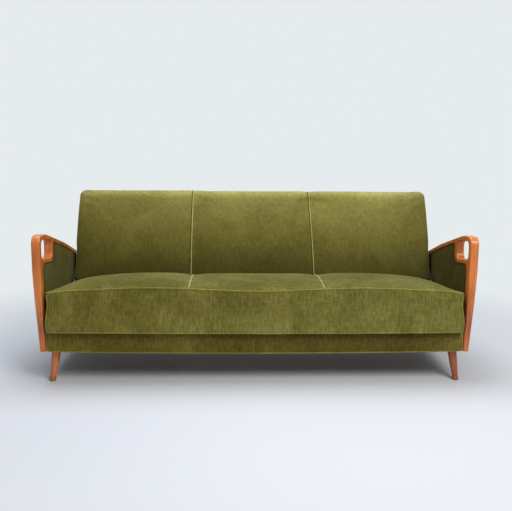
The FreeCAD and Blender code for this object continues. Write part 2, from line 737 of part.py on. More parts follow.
def make_root_hinge():
    """Bracket on each rear post, the pin riveted through it and the ratchet's round housing."""
    body = doc.addObject("PartDesign::Body", "Bracket")
    arm = polygon(body, "YZ_Plane", "BracketArm", [[
        (f"hinge_y - hub_radius * {HUB_SIDE}", f"hinge_z - hub_radius * {HUB_LOW}"),
        ("rear_post_front + plate_thick", "box_top + bracket_foot_gap"),
        ("rear_post_rear - plate_thick", "box_top + bracket_foot_gap"),
        ("rear_post_rear - plate_thick", "hinge_z + hub_radius"),
        ("hinge_y", "hinge_z + hub_radius")]], "bracket_in")
    pad(body, arm, "bracket_thick")
    pad(body, circles(body, "YZ_Plane", "BracketHub", [("hinge_y", "hinge_z")],
                      "hub_radius + plate_thick", "bracket_in"), "bracket_thick")
    pocket_through(body, circles(body, "YZ_Plane", "BracketBore", [("hinge_y", "hinge_z")],
                                 "pin_radius + running_gap"))
    keep_pair(body, "hinge_bracket")

    head = rod("PinHead", ("seat_half - pin_head_high", "hinge_y", "hinge_z"),
               "pin_head_radius", "pin_head_high")
    shank = rod("PinShank", ("seat_half", "hinge_y", "hinge_z"), "pin_radius",
                "arm_inner - seat_half")
    keep(both_sides("HingePins", [fuse("Pin", [head, shank])]), "hinge_pins")

    drum = rod("Drum", ("drum_in", "hinge_y", "hinge_z"), "drum_radius", "drum_thick")
    bore = rod("DrumBore", ("drum_in - lap_margin", "hinge_y", "hinge_z"),
               "pin_radius + running_gap", "drum_thick + 2 * lap_margin")
    keep(both_sides("RatchetHousings", [cut("RatchetHousing", drum, [bore])]),
         "ratchet_housings")


def make_seat_hinge():
    body = doc.addObject("PartDesign::Body", "SeatPlate")
    leaf = polygon(body, "YZ_Plane", "SeatLeaf", [[
        (f"hinge_y - hub_radius * {HUB_SIDE}", f"hinge_z + hub_radius * {HUB_TOP}"),
        ("seat_rear - seat_leaf_rear - leaf_long", "seat_bottom + seat_leaf_up + leaf_high"),
        ("seat_rear - seat_leaf_rear - leaf_long", "seat_bottom + seat_leaf_up"),
        ("seat_rear - seat_leaf_rear", "seat_bottom + seat_leaf_up"),
        (f"hinge_y + hub_radius * {HUB_TOP}", f"hinge_z - hub_radius * {HUB_SIDE}")]],
        "seat_plate_in")
    pad(body, leaf, "plate_thick")
    pad(body, circles(body, "YZ_Plane", "SeatHub", [("hinge_y", "hinge_z")], "hub_radius",
                      "seat_plate_in"), "plate_thick")
    pocket_through(body, circles(body, "YZ_Plane", "SeatPlateBore", [("hinge_y", "hinge_z")],
                                 "pin_radius + running_gap"))
    keep_pair(body, "seat_hinge_plate")


def make_back_hinge():
    """Hub plate outside the seat's plate, lapped onto a leaf on the side of the back."""
    body = doc.addObject("PartDesign::Body", "BackPlate")
    lap = "plate_thick + plate_gap"
    leaf = polygon(body, "YZ_Plane", "BackLeaf", [[
        ("back_leaf_face", "back_leaf_start"), ("back_leaf_face + back_leaf_wide",
                                                "back_leaf_start"),
        ("back_leaf_face + back_leaf_wide", "back_leaf_end"),
        ("back_leaf_face", "back_leaf_end")]], "seat_plate_in")
    pad(body, leaf, lap)
    high_share, low_share = TONGUE_SHARES
    tongue = polygon(body, "YZ_Plane", "BackTongue", [[
        (f"-hub_radius * {HUB_LOW}", f"hub_radius * {HUB_SIDE}"),
        ("back_leaf_face + plate_thick", f"back_leaf_start + {high_share} * back_leaf_long"),
        ("back_leaf_face + back_leaf_wide - plate_thick",
         f"back_leaf_start + {low_share} * back_leaf_long"),
        (f"hub_radius * {HUB_SIDE}", f"-hub_radius * {HUB_LOW}")]], "back_hub_in")
    pad(body, tongue, "plate_thick")
    pad(body, circles(body, "YZ_Plane", "BackHub", [("0", "0")], "hub_radius + plate_thick",
                      "back_hub_in"), "plate_thick")
    pocket_through(body, circles(body, "YZ_Plane", "BackPlateBore", [("0", "0")],
                                 "pin_radius + running_gap"))
    keep_back_pair(body, "back_hinge_plate")


# ---------------------------------------------------------------- seat


def lattice(name, half, start, end, counts, level, thick):
    """Flat webbing: straps across a frame and along it, joined where they cross."""
    across, along = counts
    straps = [box(f"{name}Across{n}", (
        f"{n} / {across - 1} * (2 * {half} - strap_wide) - {half}", start, level),
        ("strap_wide", f"({end}) - ({start})", thick)) for n in range(across)]
    straps += [box(f"{name}Along{n}", (
        f"-({half})", f"{start} + ({n} + 0.5) / {along} * (({end}) - ({start})) - strap_wide / 2",
        level), (f"2 * {half}", "strap_wide", thick)) for n in range(along)]
    return fuse(name, straps)


def make_seat_frame():
    full = "2 * frame_half"
    keep(box("SeatFrontRail", ("-frame_half", "rail_front", "seat_bottom"),
             (full, "front_rail_wide", "seat_rail_deep")), "seat_front_rail")
    keep(box("SeatRearRail", ("-frame_half", "side_rail_end", "seat_bottom"),
             (full, "rail_thick", "seat_rail_deep")), "seat_rear_rail")
    between = "side_rail_end - side_rail_start"
    rail = box("SeatSideRail", ("frame_half - rail_thick", "side_rail_start", "seat_bottom"),
               ("rail_thick", between, "seat_rail_deep"))
    keep_pair(rail, "seat_side_rail")
    cross = box("SeatCrossRail", ("cross_rail_place - rail_thick / 2", "side_rail_start",
                                  "seat_rail_top - cross_rail_deep"),
                ("rail_thick", between, "cross_rail_deep"))
    keep(both_sides("SeatCrossRails", [cross]), "seat_cross_rails")
    keep(lattice("SeatWebbing", "(frame_half - strap_overlap)", "rail_front + strap_overlap",
                 "rail_rear - strap_overlap", STRAP_COUNTS, "seat_rail_top", "strap_thick"),
         "seat_webbing")
    keep(box("SeatCore", ("core_inset - frame_half", "rail_front + core_inset", "webbing_top"),
             ("2 * (frame_half - core_inset)", "rail_rear - rail_front - 2 * core_inset",
              "core_high")), "seat_spring_core")


PANEL_STATIONS = (0.0, 0.015, 0.05, 0.12, 0.28, 0.5, 0.72, 0.88, 0.95, 0.985, 1.0)
LEAST_SWELL = 0.03                 # keeps the outermost arcs from being straight


def swell(x):
    """Share of the full swell at a place along the sofa: little at the sides, less at seams."""
    inward = K.seat_half - abs(x)
    share = 1 - math.exp(-inward / S.swell_run)
    return max(share, LEAST_SWELL)


def seam_dip(x):
    """Depth of the sewn channels at a place along the sofa."""
    count = int(S.panel_count)
    seams = [K.seat_half * (2 * n / count - 1) for n in range(1, count)]
    nearest = min(abs(x - seam) for seam in seams)
    return S.seam_dip * math.exp(-nearest / (2 * S.seam_dip))


def arc(start, middle, end):
    return Part.Arc(start, middle, end).toShape()


def line(start, end):
    return Part.LineSegment(start, end).toShape()


def panels(section):
    """A cushion of sewn panels side by side, each lofted through its own sections."""
    count = int(S.panel_count)
    joined = None
    for n in range(count):
        start = K.seat_half * (2 * n / count - 1)
        wide = 2 * K.seat_half / count
        wires = [section(start + wide * share) for share in PANEL_STATIONS]
        panel = Part.makeLoft(wires, True, True)
        joined = panel if joined is None else joined.fuse(panel)
    return joined


def seat_section(x):
    """Outline of the seat across its depth."""
    share = swell(x)
    dip = seam_dip(x) if share > LEAST_SWELL else 0.0
    low = S.seat_bottom
    along = math.pi * abs(x) / K.seat_half
    front_z = S.seat_front_height + S.seat_front_swell * math.sin(along) ** 2
    roll = S.seat_edge_roll

    def point(depth_share, rise_share):
        level = front_z + (S.seat_rear_height - front_z) * depth_share
        rise = S.seat_crown * rise_share * share - dip * min(rise_share, 1) * share
        return Vector(x, K.front + S.seat_depth * depth_share, level + rise)

    front_low = Vector(x, K.front, low)
    rear_low = Vector(x, K.seat_rear, low)
    rear_top = Vector(x, K.seat_rear, S.seat_rear_height)
    crest = point(SEAT_CREST_SHARE, 1.0)
    edge_top = Vector(x, K.front + roll, front_z + S.seat_edge_rise)
    edge_front = Vector(x, K.front, front_z - roll)
    corner = roll * (1 - math.sqrt(0.5))
    return Part.Wire([
        line(front_low, rear_low), line(rear_low, rear_top),
        arc(rear_top, point(*SEAT_REAR_SHARES), crest),
        arc(crest, point(*SEAT_FRONT_SHARES), edge_top),
        arc(edge_top, Vector(x, K.front + corner, front_z - corner), edge_front),
        arc(edge_front, Vector(x, K.front + S.seat_draw_in, (low + front_z) / 2), front_low)])


def side_hollows(low, high, front, rear):
    """Shallow round-bottomed troughs that draw in the two side faces of the seat."""
    chord = (high - low) / 2
    radius = (chord ** 2 + S.seat_draw_in ** 2) / (2 * S.seat_draw_in)
    made = []
    for side in (1, -1):
        centre = Vector(side * (K.seat_half + radius - S.seat_draw_in), front, (low + high) / 2)
        made.append(Part.makeCylinder(radius, rear - front, centre, Vector(0, 1, 0)))
    return made


def block(low, high):
    """A plain block between two corners."""
    size = high - low
    return Part.makeBox(size.x, size.y, size.z, low)


def pin_notches(y, z):
    """Round pockets in both side faces for the heads of the hinge pins."""
    deep = S.pin_head_high + S.plate_gap + S.lap_margin
    return [Part.makeCylinder(K.pin_notch_radius, deep + S.lap_margin, Vector(
        side * (K.seat_half + S.lap_margin), y, z), Vector(-side, 0, 0)) for side in (1, -1)]


def make_seat_cushion():
    """Upholstered seat: three crowned panels over a hollow that holds the frame."""
    gap = S.soft_gap
    half = K.frame_half + gap
    core_half = K.frame_half - S.core_inset + gap
    roof = K.webbing_top + gap
    frame_room = block(Vector(-half, K.rail_front - gap, S.seat_bottom - S.lap_margin),
                       Vector(half, K.rail_rear + gap, roof))
    core_room = block(Vector(-core_half, K.rail_front + S.core_inset - gap,
                             roof - S.lap_margin),
                      Vector(core_half, K.rail_rear - S.core_inset + gap,
                             K.webbing_top + S.core_high + gap))
    cushion = panels(seat_section)
    tools = [frame_room, core_room] + pin_notches(K.hinge_y, K.hinge_z)
    tools += side_hollows(S.seat_bottom + S.seat_hem, S.seat_rear_height - S.seat_hem,
                          K.front - S.lap_margin, K.seat_rear + S.lap_margin)
    feature = doc.addObject("Part::Feature", "SeatCushion")
    feature.Shape = cushion.cut(tools)
    keep(feature, "seat_cushion")


# ---------------------------------------------------------------- back
# Modelled standing up: Z runs from the hinge line to the top, Y from the front surface to
# the rear. The frame below then leans it back about the hinge line.

BACK_FRAME = Placement(Vector(0, K.hinge_y, K.hinge_z), Rotation(Vector(1, 0, 0), -S.recline))


def keep_back_pair(right, label):
    """Keep a right-hand piece of the back, leaned into place, and its left-hand twin."""
    keep(right, label + "_right", BACK_FRAME)
    keep(mirrored(label + "_twin", right), label + "_left")


def back_board(name, low, high, start, thick, face="back_frame_face"):
    """A board of the back frame between two heights, its rear edge on the tapering rear."""
    rear = "back_rear_start - lining_thick - ({}) * back_taper"
    corners = [(face, low), (rear.format(f"{low} - back_frame_start"), low),
               (rear.format(f"{high} - back_frame_start"), high), (face, high)]
    body = doc.addObject("PartDesign::Body", name)
    pad(body, polygon(body, "YZ_Plane", name + "Side", [corners], start), thick)
    return body


def make_back_frame():
    start, end = "back_frame_start", "back_frame_end"
    inner = "frame_half - rail_thick"
    low_top, high_low = f"{start} + rail_thick", f"{end} - rail_thick"
    side = back_board("BackSideRail", start, end, inner, "rail_thick")
    keep_back_pair(side, "back_side_rail")
    for name, low, high, label in (("BackBottomRail", start, low_top, "back_bottom_rail"),
                                   ("BackTopRail", high_low, end, "back_top_rail")):
        keep(back_board(name, low, high, f"-({inner})", f"2 * ({inner})"), label, BACK_FRAME)
    cross = back_board("BackCrossRail", low_top, high_low, "cross_rail_place - rail_thick / 2",
                       "rail_thick")
    keep(both_sides("BackCrossRails", [cross]), "back_cross_rails", BACK_FRAME)
    webbing = lattice("BackWebbing", "(frame_half - strap_overlap)",
                      "back_frame_start + strap_overlap", "back_frame_end - strap_overlap",
                      STRAP_COUNTS, "0", "strap_thick")
    webbing.Placement = Placement(Vector(0, S.back_frame_face, 0), Rotation(Vector(1, 0, 0), 90))
    keep(group("BackWebbingStanding", [webbing]), "back_webbing", BACK_FRAME)

    lining = doc.addObject("PartDesign::Body", "RearLining")
    pad(lining, polygon(lining, "YZ_Plane", "LiningSide", [[
        ("back_rear_start - lining_thick", start), ("back_rear_start", start),
        ("back_rear_end", end), ("back_rear_end - lining_thick", end)]], "-frame_half"),
        "2 * frame_half")
    keep(lining, "back_rear_cloth", BACK_FRAME)


def back_section(x):
    """Outline of the back across its thickness, with its rolled top edge."""
    share = swell(x)
    dip = seam_dip(x) if share > LEAST_SWELL else 0.0
    inward = K.seat_half - abs(x)
    short = 0.0
    if inward < S.back_corner:
        short = S.back_corner - math.sqrt(S.back_corner ** 2 - (S.back_corner - inward) ** 2)
    top = S.back_length - short
    low = S.back_bottom_gap
    crown = S.back_crown * share - dip
    roll = S.back_edge_roll
    front_low = Vector(x, 0, low)
    rear_low = Vector(x, S.back_deep, low)
    rear_top = Vector(x, S.back_thin, top - S.back_top_drop)
    crest = Vector(x, S.back_thin * BACK_TOP_SHARE, top - dip)
    edge = Vector(x, -BACK_EDGE_SHARE * crown, top - roll)
    return Part.Wire([
        line(front_low, rear_low), line(rear_low, rear_top), arc(rear_top, crest, edge),
        arc(edge, Vector(x, -crown, BACK_CREST_SHARE * top), front_low)])


def make_back_cushion():
    """Upholstered back: three crowned panels round a hollow that holds the frame."""
    gap = S.soft_gap
    half = K.frame_half + gap
    frame_room = block(
        Vector(-half, S.back_frame_face - S.strap_thick - gap, S.back_frame_start - gap),
        Vector(half, S.back_deep + S.lap_margin, K.back_frame_end + gap))
    tools = [frame_room] + pin_notches(0, 0)
    feature = doc.addObject("Part::Feature", "BackCushion")
    feature.Shape = panels(back_section).cut(tools)
    keep(feature, "back_cushion", BACK_FRAME)


# ---------------------------------------------------------------- build and write


def check_document():
    """Stop if any object failed or any sub-part is empty, broken or without volume."""
    doc.recompute()
    for thing in doc.Objects:
        if {"Invalid", "Error"} & set(thing.State):
            raise RuntimeError(f"{thing.Name} failed: {thing.State}")
    for thing in SUB_PARTS:
        shape = thing.Shape
        if shape.isNull() or not shape.isValid() or not shape.Solids:
            raise RuntimeError(f"{thing.Label} has no valid solid")


def write_parts():
    os.makedirs("parts", exist_ok=True)
    for thing in SUB_PARTS:
        thing.Shape.exportStep(os.path.join("parts", thing.Label + ".step"))


make_box()
make_legs()
make_fascia()
make_rests()
make_arm_post()
make_arm_rails()
make_arm_panels()
make_arm_bolts()
make_root_hinge()
make_seat_frame()
make_seat_cushion()
make_seat_hinge()
make_back_frame()
make_back_cushion()
make_back_hinge()
check_document()
write_parts()
print(f"{len(SUB_PARTS)} sub-parts written")
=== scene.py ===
"""Looks of a click-clack sofa bed: olive cotton velvet, slim stained beech arms, turned legs.

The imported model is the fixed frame. Everything here is in metres, in the model's own frame:
the sofa faces -Y, +X is the right arm seen from the front and +Z is up. Most pieces are
modelled once on the right side and mirrored to the left.
"""

import json
import logging
import math
from contextlib import contextmanager
from dataclasses import dataclass, replace
from enum import Enum
from typing import Callable, Iterator, Sequence

import bpy
import numpy as np
from mathutils import Matrix, Vector, noise

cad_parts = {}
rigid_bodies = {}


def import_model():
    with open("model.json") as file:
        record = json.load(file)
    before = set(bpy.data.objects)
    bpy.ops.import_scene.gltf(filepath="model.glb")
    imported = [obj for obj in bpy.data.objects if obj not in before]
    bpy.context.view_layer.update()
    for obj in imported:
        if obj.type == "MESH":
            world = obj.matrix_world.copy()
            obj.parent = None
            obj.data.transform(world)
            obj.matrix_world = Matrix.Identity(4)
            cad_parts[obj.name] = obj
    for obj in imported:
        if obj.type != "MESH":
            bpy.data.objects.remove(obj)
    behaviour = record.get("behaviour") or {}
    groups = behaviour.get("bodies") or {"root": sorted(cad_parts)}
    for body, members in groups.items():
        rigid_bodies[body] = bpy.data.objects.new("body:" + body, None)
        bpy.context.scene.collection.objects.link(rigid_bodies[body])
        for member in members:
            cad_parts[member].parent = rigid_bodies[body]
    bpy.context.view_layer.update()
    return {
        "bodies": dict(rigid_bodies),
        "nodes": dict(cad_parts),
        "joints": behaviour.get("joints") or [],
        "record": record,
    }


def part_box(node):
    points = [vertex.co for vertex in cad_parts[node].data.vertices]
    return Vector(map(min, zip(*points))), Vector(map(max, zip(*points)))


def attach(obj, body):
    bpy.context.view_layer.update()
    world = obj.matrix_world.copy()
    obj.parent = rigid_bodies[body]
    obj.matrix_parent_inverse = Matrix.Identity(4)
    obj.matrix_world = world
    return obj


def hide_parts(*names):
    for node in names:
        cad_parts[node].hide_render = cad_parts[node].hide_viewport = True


LOG = logging.getLogger("sofa")
MM = 0.001

# A place or a direction: X, Y and Z.
Point = tuple[float, float, float]
# A corner of a sawn outline: its two coordinates, and the radius of its arc.
Corner = tuple[float, float, float]
# A place near a surface, and the direction that leads away from it.
Spot = tuple[Sequence[float], Sequence[float]]

# Creases sharper than this, in degrees, stay sharp: on wood and metal, and on cloth.
HARD_CREASE = 35.0
CLOTH_CREASE = 60.0
# A corner this near to a plane, in metres, lies on it.
NEAR = 1e-4
# Steps of a curve from one point to the next, and round a quarter of its section.
CURVE_STEPS = 3
# Frames that the stuffing gets to swell a pad, from frame 1.
STUFFING_FRAMES = 20
# Half the length over which a painted shade changes from end to end of the sofa, in metres.
PAINTED_SHADE_HALF = 0.95


# ---------------------------------------------------------------- small modelling tools


def linear(colour: str) -> tuple[float, float, float, float]:
    """Turn an sRGB hex colour into linear RGBA, by the curve of the sRGB standard.

    Args:
        colour: Six hex digits, such as "6e6833".

    Returns:
        The colour as four linear values, alpha last.
    """
    parts = [int(colour[i:i + 2], 16) / 255 for i in (0, 2, 4)]
    return (*[c / 12.92 if c <= 0.04045 else ((c + 0.055) / 1.055) ** 2.4 for c in parts], 1.0)


def only(thing: bpy.types.Object) -> None:
    """Deselect everything, then select one object and make it active.

    Args:
        thing: The object.
    """
    bpy.ops.object.select_all(action="DESELECT")
    thing.select_set(True)
    bpy.context.view_layer.objects.active = thing


def newest(name: str) -> bpy.types.Object:
    """Name the object that the last operator left active.

    Args:
        name: Its new name, which its mesh or curve gets too.

    Returns:
        The object.
    """
    thing = bpy.context.active_object
    thing.name = thing.data.name = name
    return thing


def added(name: str, operator: Callable[..., object], **settings: object) -> bpy.types.Object:
    """Add a primitive, a lamp or a camera while nothing is selected.

    Args:
        name: The new object's name.
        operator: The operator that adds it, such as bpy.ops.mesh.primitive_cube_add.
        settings: The operator's own settings.

    Returns:
        The new object.
    """
    bpy.ops.object.select_all(action="DESELECT")
    operator(**settings)
    return newest(name)


@contextmanager
def edit_mode(thing: bpy.types.Object, select: str = "DESELECT") -> Iterator[None]:
    """Open an object in edit mode, and close it again.

    Args:
        thing: The mesh object.
        select: "SELECT" to start with all of it selected, or "DESELECT" with nothing.

    Yields:
        Nothing, while the object is open.
    """
    only(thing)
    bpy.ops.object.mode_set(mode="EDIT")
    bpy.ops.mesh.select_all(action=select)
    yield
    bpy.ops.object.mode_set(mode="OBJECT")


def vertices_of(thing: bpy.types.Object) -> np.ndarray:
    """Read the corners of a mesh.

    Args:
        thing: The mesh object.

    Returns:
        Their places as rows.
    """
    flat = np.empty(len(thing.data.vertices) * 3, np.float32)
    thing.data.vertices.foreach_get("co", flat)
    return flat.reshape(-1, 3).astype(float)


def move_vertices(thing: bpy.types.Object, places: np.ndarray) -> None:
    """Put the corners of a mesh at new places."""
    thing.data.vertices.foreach_set("co", places.astype(np.float32).ravel())
    thing.data.update()


def reshape(thing: bpy.types.Object, form: Callable[[np.ndarray], np.ndarray]) -> None:
    """Move every corner of a mesh by a function of its place."""
    move_vertices(thing, form(vertices_of(thing)))


def bake_place(thing: bpy.types.Object) -> None:
    """Put an object's own place, turn and scale into its mesh."""
    only(thing)
    bpy.ops.object.transform_apply(location=True, rotation=True, scale=True)


def apply_modifier(thing: bpy.types.Object, kind: str, **settings: object) -> None:
    """Add a modifier with its settings and apply it at once.

    Args:
        thing: The mesh object.
        kind: The modifier's type, such as "SUBSURF".
        settings: Its properties by name.
    """
    modifier = thing.modifiers.new(kind.title(), kind)
    for name, value in settings.items():
        setattr(modifier, name, value)
    only(thing)
    bpy.ops.object.modifier_apply(modifier=modifier.name)


def subdivide_surface(thing: bpy.types.Object, levels: int = 1) -> None:
    """Refine a mesh into a smooth subdivision surface."""
    apply_modifier(thing, "SUBSURF", levels=levels, render_levels=levels)


def soften_edges(thing: bpy.types.Object, width: float, rounds: int = 3,
                 sharper: float = 40.0) -> None:
    """Round the sharp edges of a piece with a bevel.

    Args:
        thing: The mesh object.
        width: How far in the rounding starts.
        rounds: How many faces make the rounding.
        sharper: Edges sharper than this, in degrees, are rounded.
    """
    apply_modifier(thing, "BEVEL", width=width, segments=rounds, limit_method="ANGLE",
                   angle_limit=math.radians(sharper), use_clamp_overlap=False)


def face_outwards(thing: bpy.types.Object) -> None:
    """Merge doubled corners and turn every face outwards.

    Args:
        thing: The mesh object.
    """
    with edit_mode(thing, "SELECT"):
        bpy.ops.mesh.remove_doubles(threshold=1e-5)
        bpy.ops.mesh.normals_make_consistent(inside=False)


class Keep(Enum):
    """What a cut leaves of a piece."""

    BOTH = "both sides"
    BEHIND = "what the normal points away from"
    AHEAD = "what the normal points to"


def cut_across(thing: bpy.types.Object, place: Sequence[float], normal: Sequence[float],
               keep: Keep = Keep.BOTH) -> None:
    """Cut a mesh along a plane, and close the cut where only one side is kept.

    Args:
        thing: The mesh object.
        place: A point on the plane.
        normal: The plane's normal.
        keep: Which side stays.
    """
    with edit_mode(thing, "SELECT"):
        bpy.ops.mesh.bisect(plane_co=place, plane_no=normal, use_fill=keep is not Keep.BOTH,
                            clear_outer=keep is Keep.BEHIND, clear_inner=keep is Keep.AHEAD)


def block(name: str, low: Sequence[float], high: Sequence[float]) -> bpy.types.Object:
    """Fill the box between two corners with a cube primitive.

    Args:
        name: The piece's name.
        low: The box's lowest corner.
        high: The box's highest corner.

    Returns:
        The block.
    """
    low, high = Vector(low), Vector(high)
    thing = added(name, bpy.ops.mesh.primitive_cube_add, size=1, location=(low + high) / 2)
    thing.scale = high - low
    bake_place(thing)
    return thing


def cut_evenly(thing: bpy.types.Object, axis: int, pieces: int) -> None:
    """Cut a block or a cone into equal slices along one axis.

    Args:
        thing: The mesh object.
        axis: 0, 1 or 2 for X, Y or Z.
        pieces: How many slices the cuts make.
    """
    mesh = thing.data
    with edit_mode(thing):
        bpy.ops.mesh.select_mode(type="EDGE")
        bpy.ops.object.mode_set(mode="OBJECT")
        for edge in mesh.edges:
            first, second = (mesh.vertices[v].co for v in edge.vertices)
            run = second - first
            edge.select = abs(run[axis]) > 0.9 * run.length
        bpy.ops.object.mode_set(mode="EDIT")
        bpy.ops.mesh.subdivide(number_cuts=pieces - 1)


def sliced_block(name: str, low: Sequence[float], high: Sequence[float],
                 pieces: Sequence[int]) -> bpy.types.Object:
    """Add a block whose faces are an even grid, ready to be shaped.

    Args:
        name: The piece's name.
        low: The block's lowest corner.
        high: The block's highest corner.
        pieces: How many slices it has along each axis.

    Returns:
        The sliced block.
    """
    thing = block(name, low, high)
    for axis, count in enumerate(pieces):
        if count > 1:
            cut_evenly(thing, axis, count)
    return thing


def rounded_box(places: np.ndarray, low: np.ndarray, high: np.ndarray,
                radius: np.ndarray) -> np.ndarray:
    """Round the edges and corners of a box.

    Args:
        places: Corners on the box, as rows.
        low: Lowest corner of the box.
        high: Highest corner of the box.
        radius: How far in the rounding starts along each axis: one row of three values, or
            one row for each place.

    Returns:
        The moved corners.
    """
    core = np.clip(places, low + radius, high - radius)
    out = (places - core) / radius
    length = np.linalg.norm(out, axis=1, keepdims=True)
    reach = np.max(np.abs(out), axis=1, keepdims=True)
    scale = np.where(length > 1e-9, reach / np.maximum(length, 1e-9), 1.0)
    return core + out * scale * radius


def smooth_step(share: np.ndarray) -> np.ndarray:
    """Ease from 0 to 1 as the share goes from 0 to 1, with no kink at either end."""
    share = np.clip(share, 0, 1)
    return share * share * (3 - 2 * share)


def ripple(places: np.ndarray, size: float, seed: float) -> np.ndarray:
    """Gentle unevenness that follows no pattern.

    Args:
        places: Places as rows.
        size: How far it is from one wave to the next, in metres.
        seed: Any number: another one gives other waves.

    Returns:
        A height from -1 to 1 for each place.
    """
    shift = Vector((seed, 2 * seed, 3 * seed))
    return np.array([noise.noise(Vector(p) / size + shift) for p in places])


def rounded_outline(corners: Sequence[Corner], step: float = 9.0) -> np.ndarray:
    """Walk round an outline and put an arc at each corner.

    Args:
        corners: Each corner's two coordinates and the radius of its arc.
        step: The turn from one point of an arc to the next, in degrees.

    Returns:
        The outline's points as rows.
    """
    spots = [Vector(corner[:2]) for corner in corners]
    points: list[Vector] = []
    for n, (here, corner) in enumerate(zip(spots, corners)):
        before, after = spots[n - 1] - here, spots[(n + 1) % len(spots)] - here
        turn = math.pi - before.angle(after)
        reach = corner[2] * math.tan(turn / 2)
        if reach < 1e-6:
            points.append(here)
            continue
        reach = min(reach, 0.49 * before.length, 0.49 * after.length)
        start, end = here + before.normalized() * reach, here + after.normalized() * reach
        middle = here + (before.normalized() + after.normalized()).normalized() * math.hypot(
            reach, reach / math.tan(turn / 2))
        sweep = (start - middle).angle_signed(end - middle)
        count = max(1, round(math.degrees(abs(sweep)) / step))
        for part in range(count + 1):
            angle = -sweep * part / count
            spoke = start - middle
            points.append(middle + Vector((
                spoke.x * math.cos(angle) - spoke.y * math.sin(angle),
                spoke.x * math.sin(angle) + spoke.y * math.cos(angle))))
    return np.array([tuple(point) for point in points])


def distance_inside(spots: np.ndarray, outline: np.ndarray) -> np.ndarray:
    """Distance from each spot to the nearest side of an outline.

    Args:
        spots: Rows of two coordinates.
        outline: The outline's points as rows.

    Returns:
        One distance for each spot.
    """
    best = np.full(len(spots), np.inf)
    for first, second in zip(outline, np.roll(outline, -1, axis=0)):
        run = second - first
        share = np.clip((spots - first) @ run / max(run @ run, 1e-12), 0, 1)
        best = np.minimum(best, np.linalg.norm(spots - first - share[:, None] * run, axis=1))
    return best


def board(name: str, outlines: Sequence[np.ndarray], low_x: float, high_x: float,
          rounding: float) -> bpy.types.Object:
    """Saw a board from outlines in Y and Z, with rounded edges.

    Args:
        name: The piece's name.
        outlines: The outer outline, and then any holes, as rows of Y and Z.
        low_x: Where its left face lies.
        high_x: Where its right face lies.
        rounding: Radius of its long edges.

    Returns:
        The board as a mesh object.
    """
    curve = added(name, bpy.ops.curve.primitive_bezier_circle_add).data
    curve.dimensions = "2D"
    curve.fill_mode = "BOTH"
    curve.splines.clear()
    for outline in outlines:
        spline = curve.splines.new("POLY")
        spline.points.add(len(outline) - 1)
        spline.use_cyclic_u = True
        for point, (y, z) in zip(spline.points, outline):
            point.co = (y, z, 0.0, 1.0)
    curve.extrude = (high_x - low_x) / 2 - rounding
    curve.bevel_depth = rounding
    curve.bevel_resolution = CURVE_STEPS
    curve.offset = -rounding
    bpy.ops.object.convert(target="MESH")
    thing = newest(name)
    upright = Matrix(((0, 0, 1, (low_x + high_x) / 2), (1, 0, 0, 0), (0, 1, 0, 0), (0, 0, 0, 1)))
    thing.data.transform(upright)
    face_outwards(thing)
    return thing


def copy_of(source: bpy.types.Object, name: str) -> bpy.types.Object:
    """Copy a piece with a mesh of its own.

    Args:
        source: The piece to copy.
        name: The copy's name.

    Returns:
        The copy.
    """
    twin = source.copy()
    twin.data = source.data.copy()
    twin.name = twin.data.name = name
    bpy.context.scene.collection.objects.link(twin)
    return twin


def mirrored(source: bpy.types.Object, name: str) -> bpy.types.Object:
    """Copy a piece to the other end of the sofa, with its faces outwards.

    Args:
        source: The piece to copy.
        name: The copy's name.

    Returns:
        The mirrored copy.
    """
    twin = copy_of(source, name)
    twin.data.transform(Matrix.Scale(-1, 4, Vector((1, 0, 0))))
    twin.data.flip_normals()
    return twin


def joined(pieces: Sequence[bpy.types.Object], name: str) -> bpy.types.Object:
    """Join pieces into one object.

    Args:
        pieces: The pieces, which are used up.
        name: The new object's name.

    Returns:
        The joined object.
    """
    bpy.ops.object.select_all(action="DESELECT")
    for piece in pieces:
        piece.select_set(True)
    bpy.context.view_layer.objects.active = pieces[0]
    if len(pieces) > 1:
        bpy.ops.object.join()
    return newest(name)


def discard(thing: bpy.types.Object) -> None:
    """Remove a tool object, such as a cutter."""
    bpy.data.objects.remove(thing, do_unlink=True)


def cord_along(name: str, points: Sequence[Sequence[float]], radius: float,
               closed: bool = False) -> bpy.types.Object:
    """Run a round cord through points on a smooth curve, as a mesh.

    Args:
        name: The piece's name.
        points: Places on the cord's middle line.
        radius: Half the cord's thickness.
        closed: Whether the cord is a ring.

    Returns:
        The cord's mesh object.
    """
    cord = added(name, bpy.ops.curve.primitive_nurbs_path_add)
    cord.location = (0, 0, 0)
    cord.data.splines.clear()
    spline = cord.data.splines.new("NURBS")
    spline.points.add(len(points) - 1)
    for point, place in zip(spline.points, points):
        point.co = (*place, 1.0)
    spline.order_u = 3
    spline.use_endpoint_u = not closed
    spline.use_cyclic_u = closed
    spline.resolution_u = CURVE_STEPS
    cord.data.bevel_depth = radius
    cord.data.bevel_resolution = CURVE_STEPS
    cord.data.use_fill_caps = not closed
    only(cord)
    bpy.ops.object.convert(target="MESH")
    cord = newest(name)
    face_outwards(cord)
    return cord


def surface_under(thing: bpy.types.Object, place: Sequence[float], outwards: Sequence[float],
                  lift: float = 0.0, reach: float = 0.25) -> Point | None:
    """Find the point of a surface that lies straight in from a place outside it.

    Args:
        thing: The piece whose surface is looked for.
        place: A place near the surface.
        outwards: The direction that leads away from the piece.
        lift: How far above the surface the found point lies.
        reach: How far out the search starts.

    Returns:
        The point, or None where there is no surface.
    """
    away = Vector(outwards).normalized()
    start = Vector(place) + away * reach
    hit, spot, _, _ = thing.ray_cast(start, -away, distance=2 * reach)
    return tuple(spot + away * lift) if hit else None


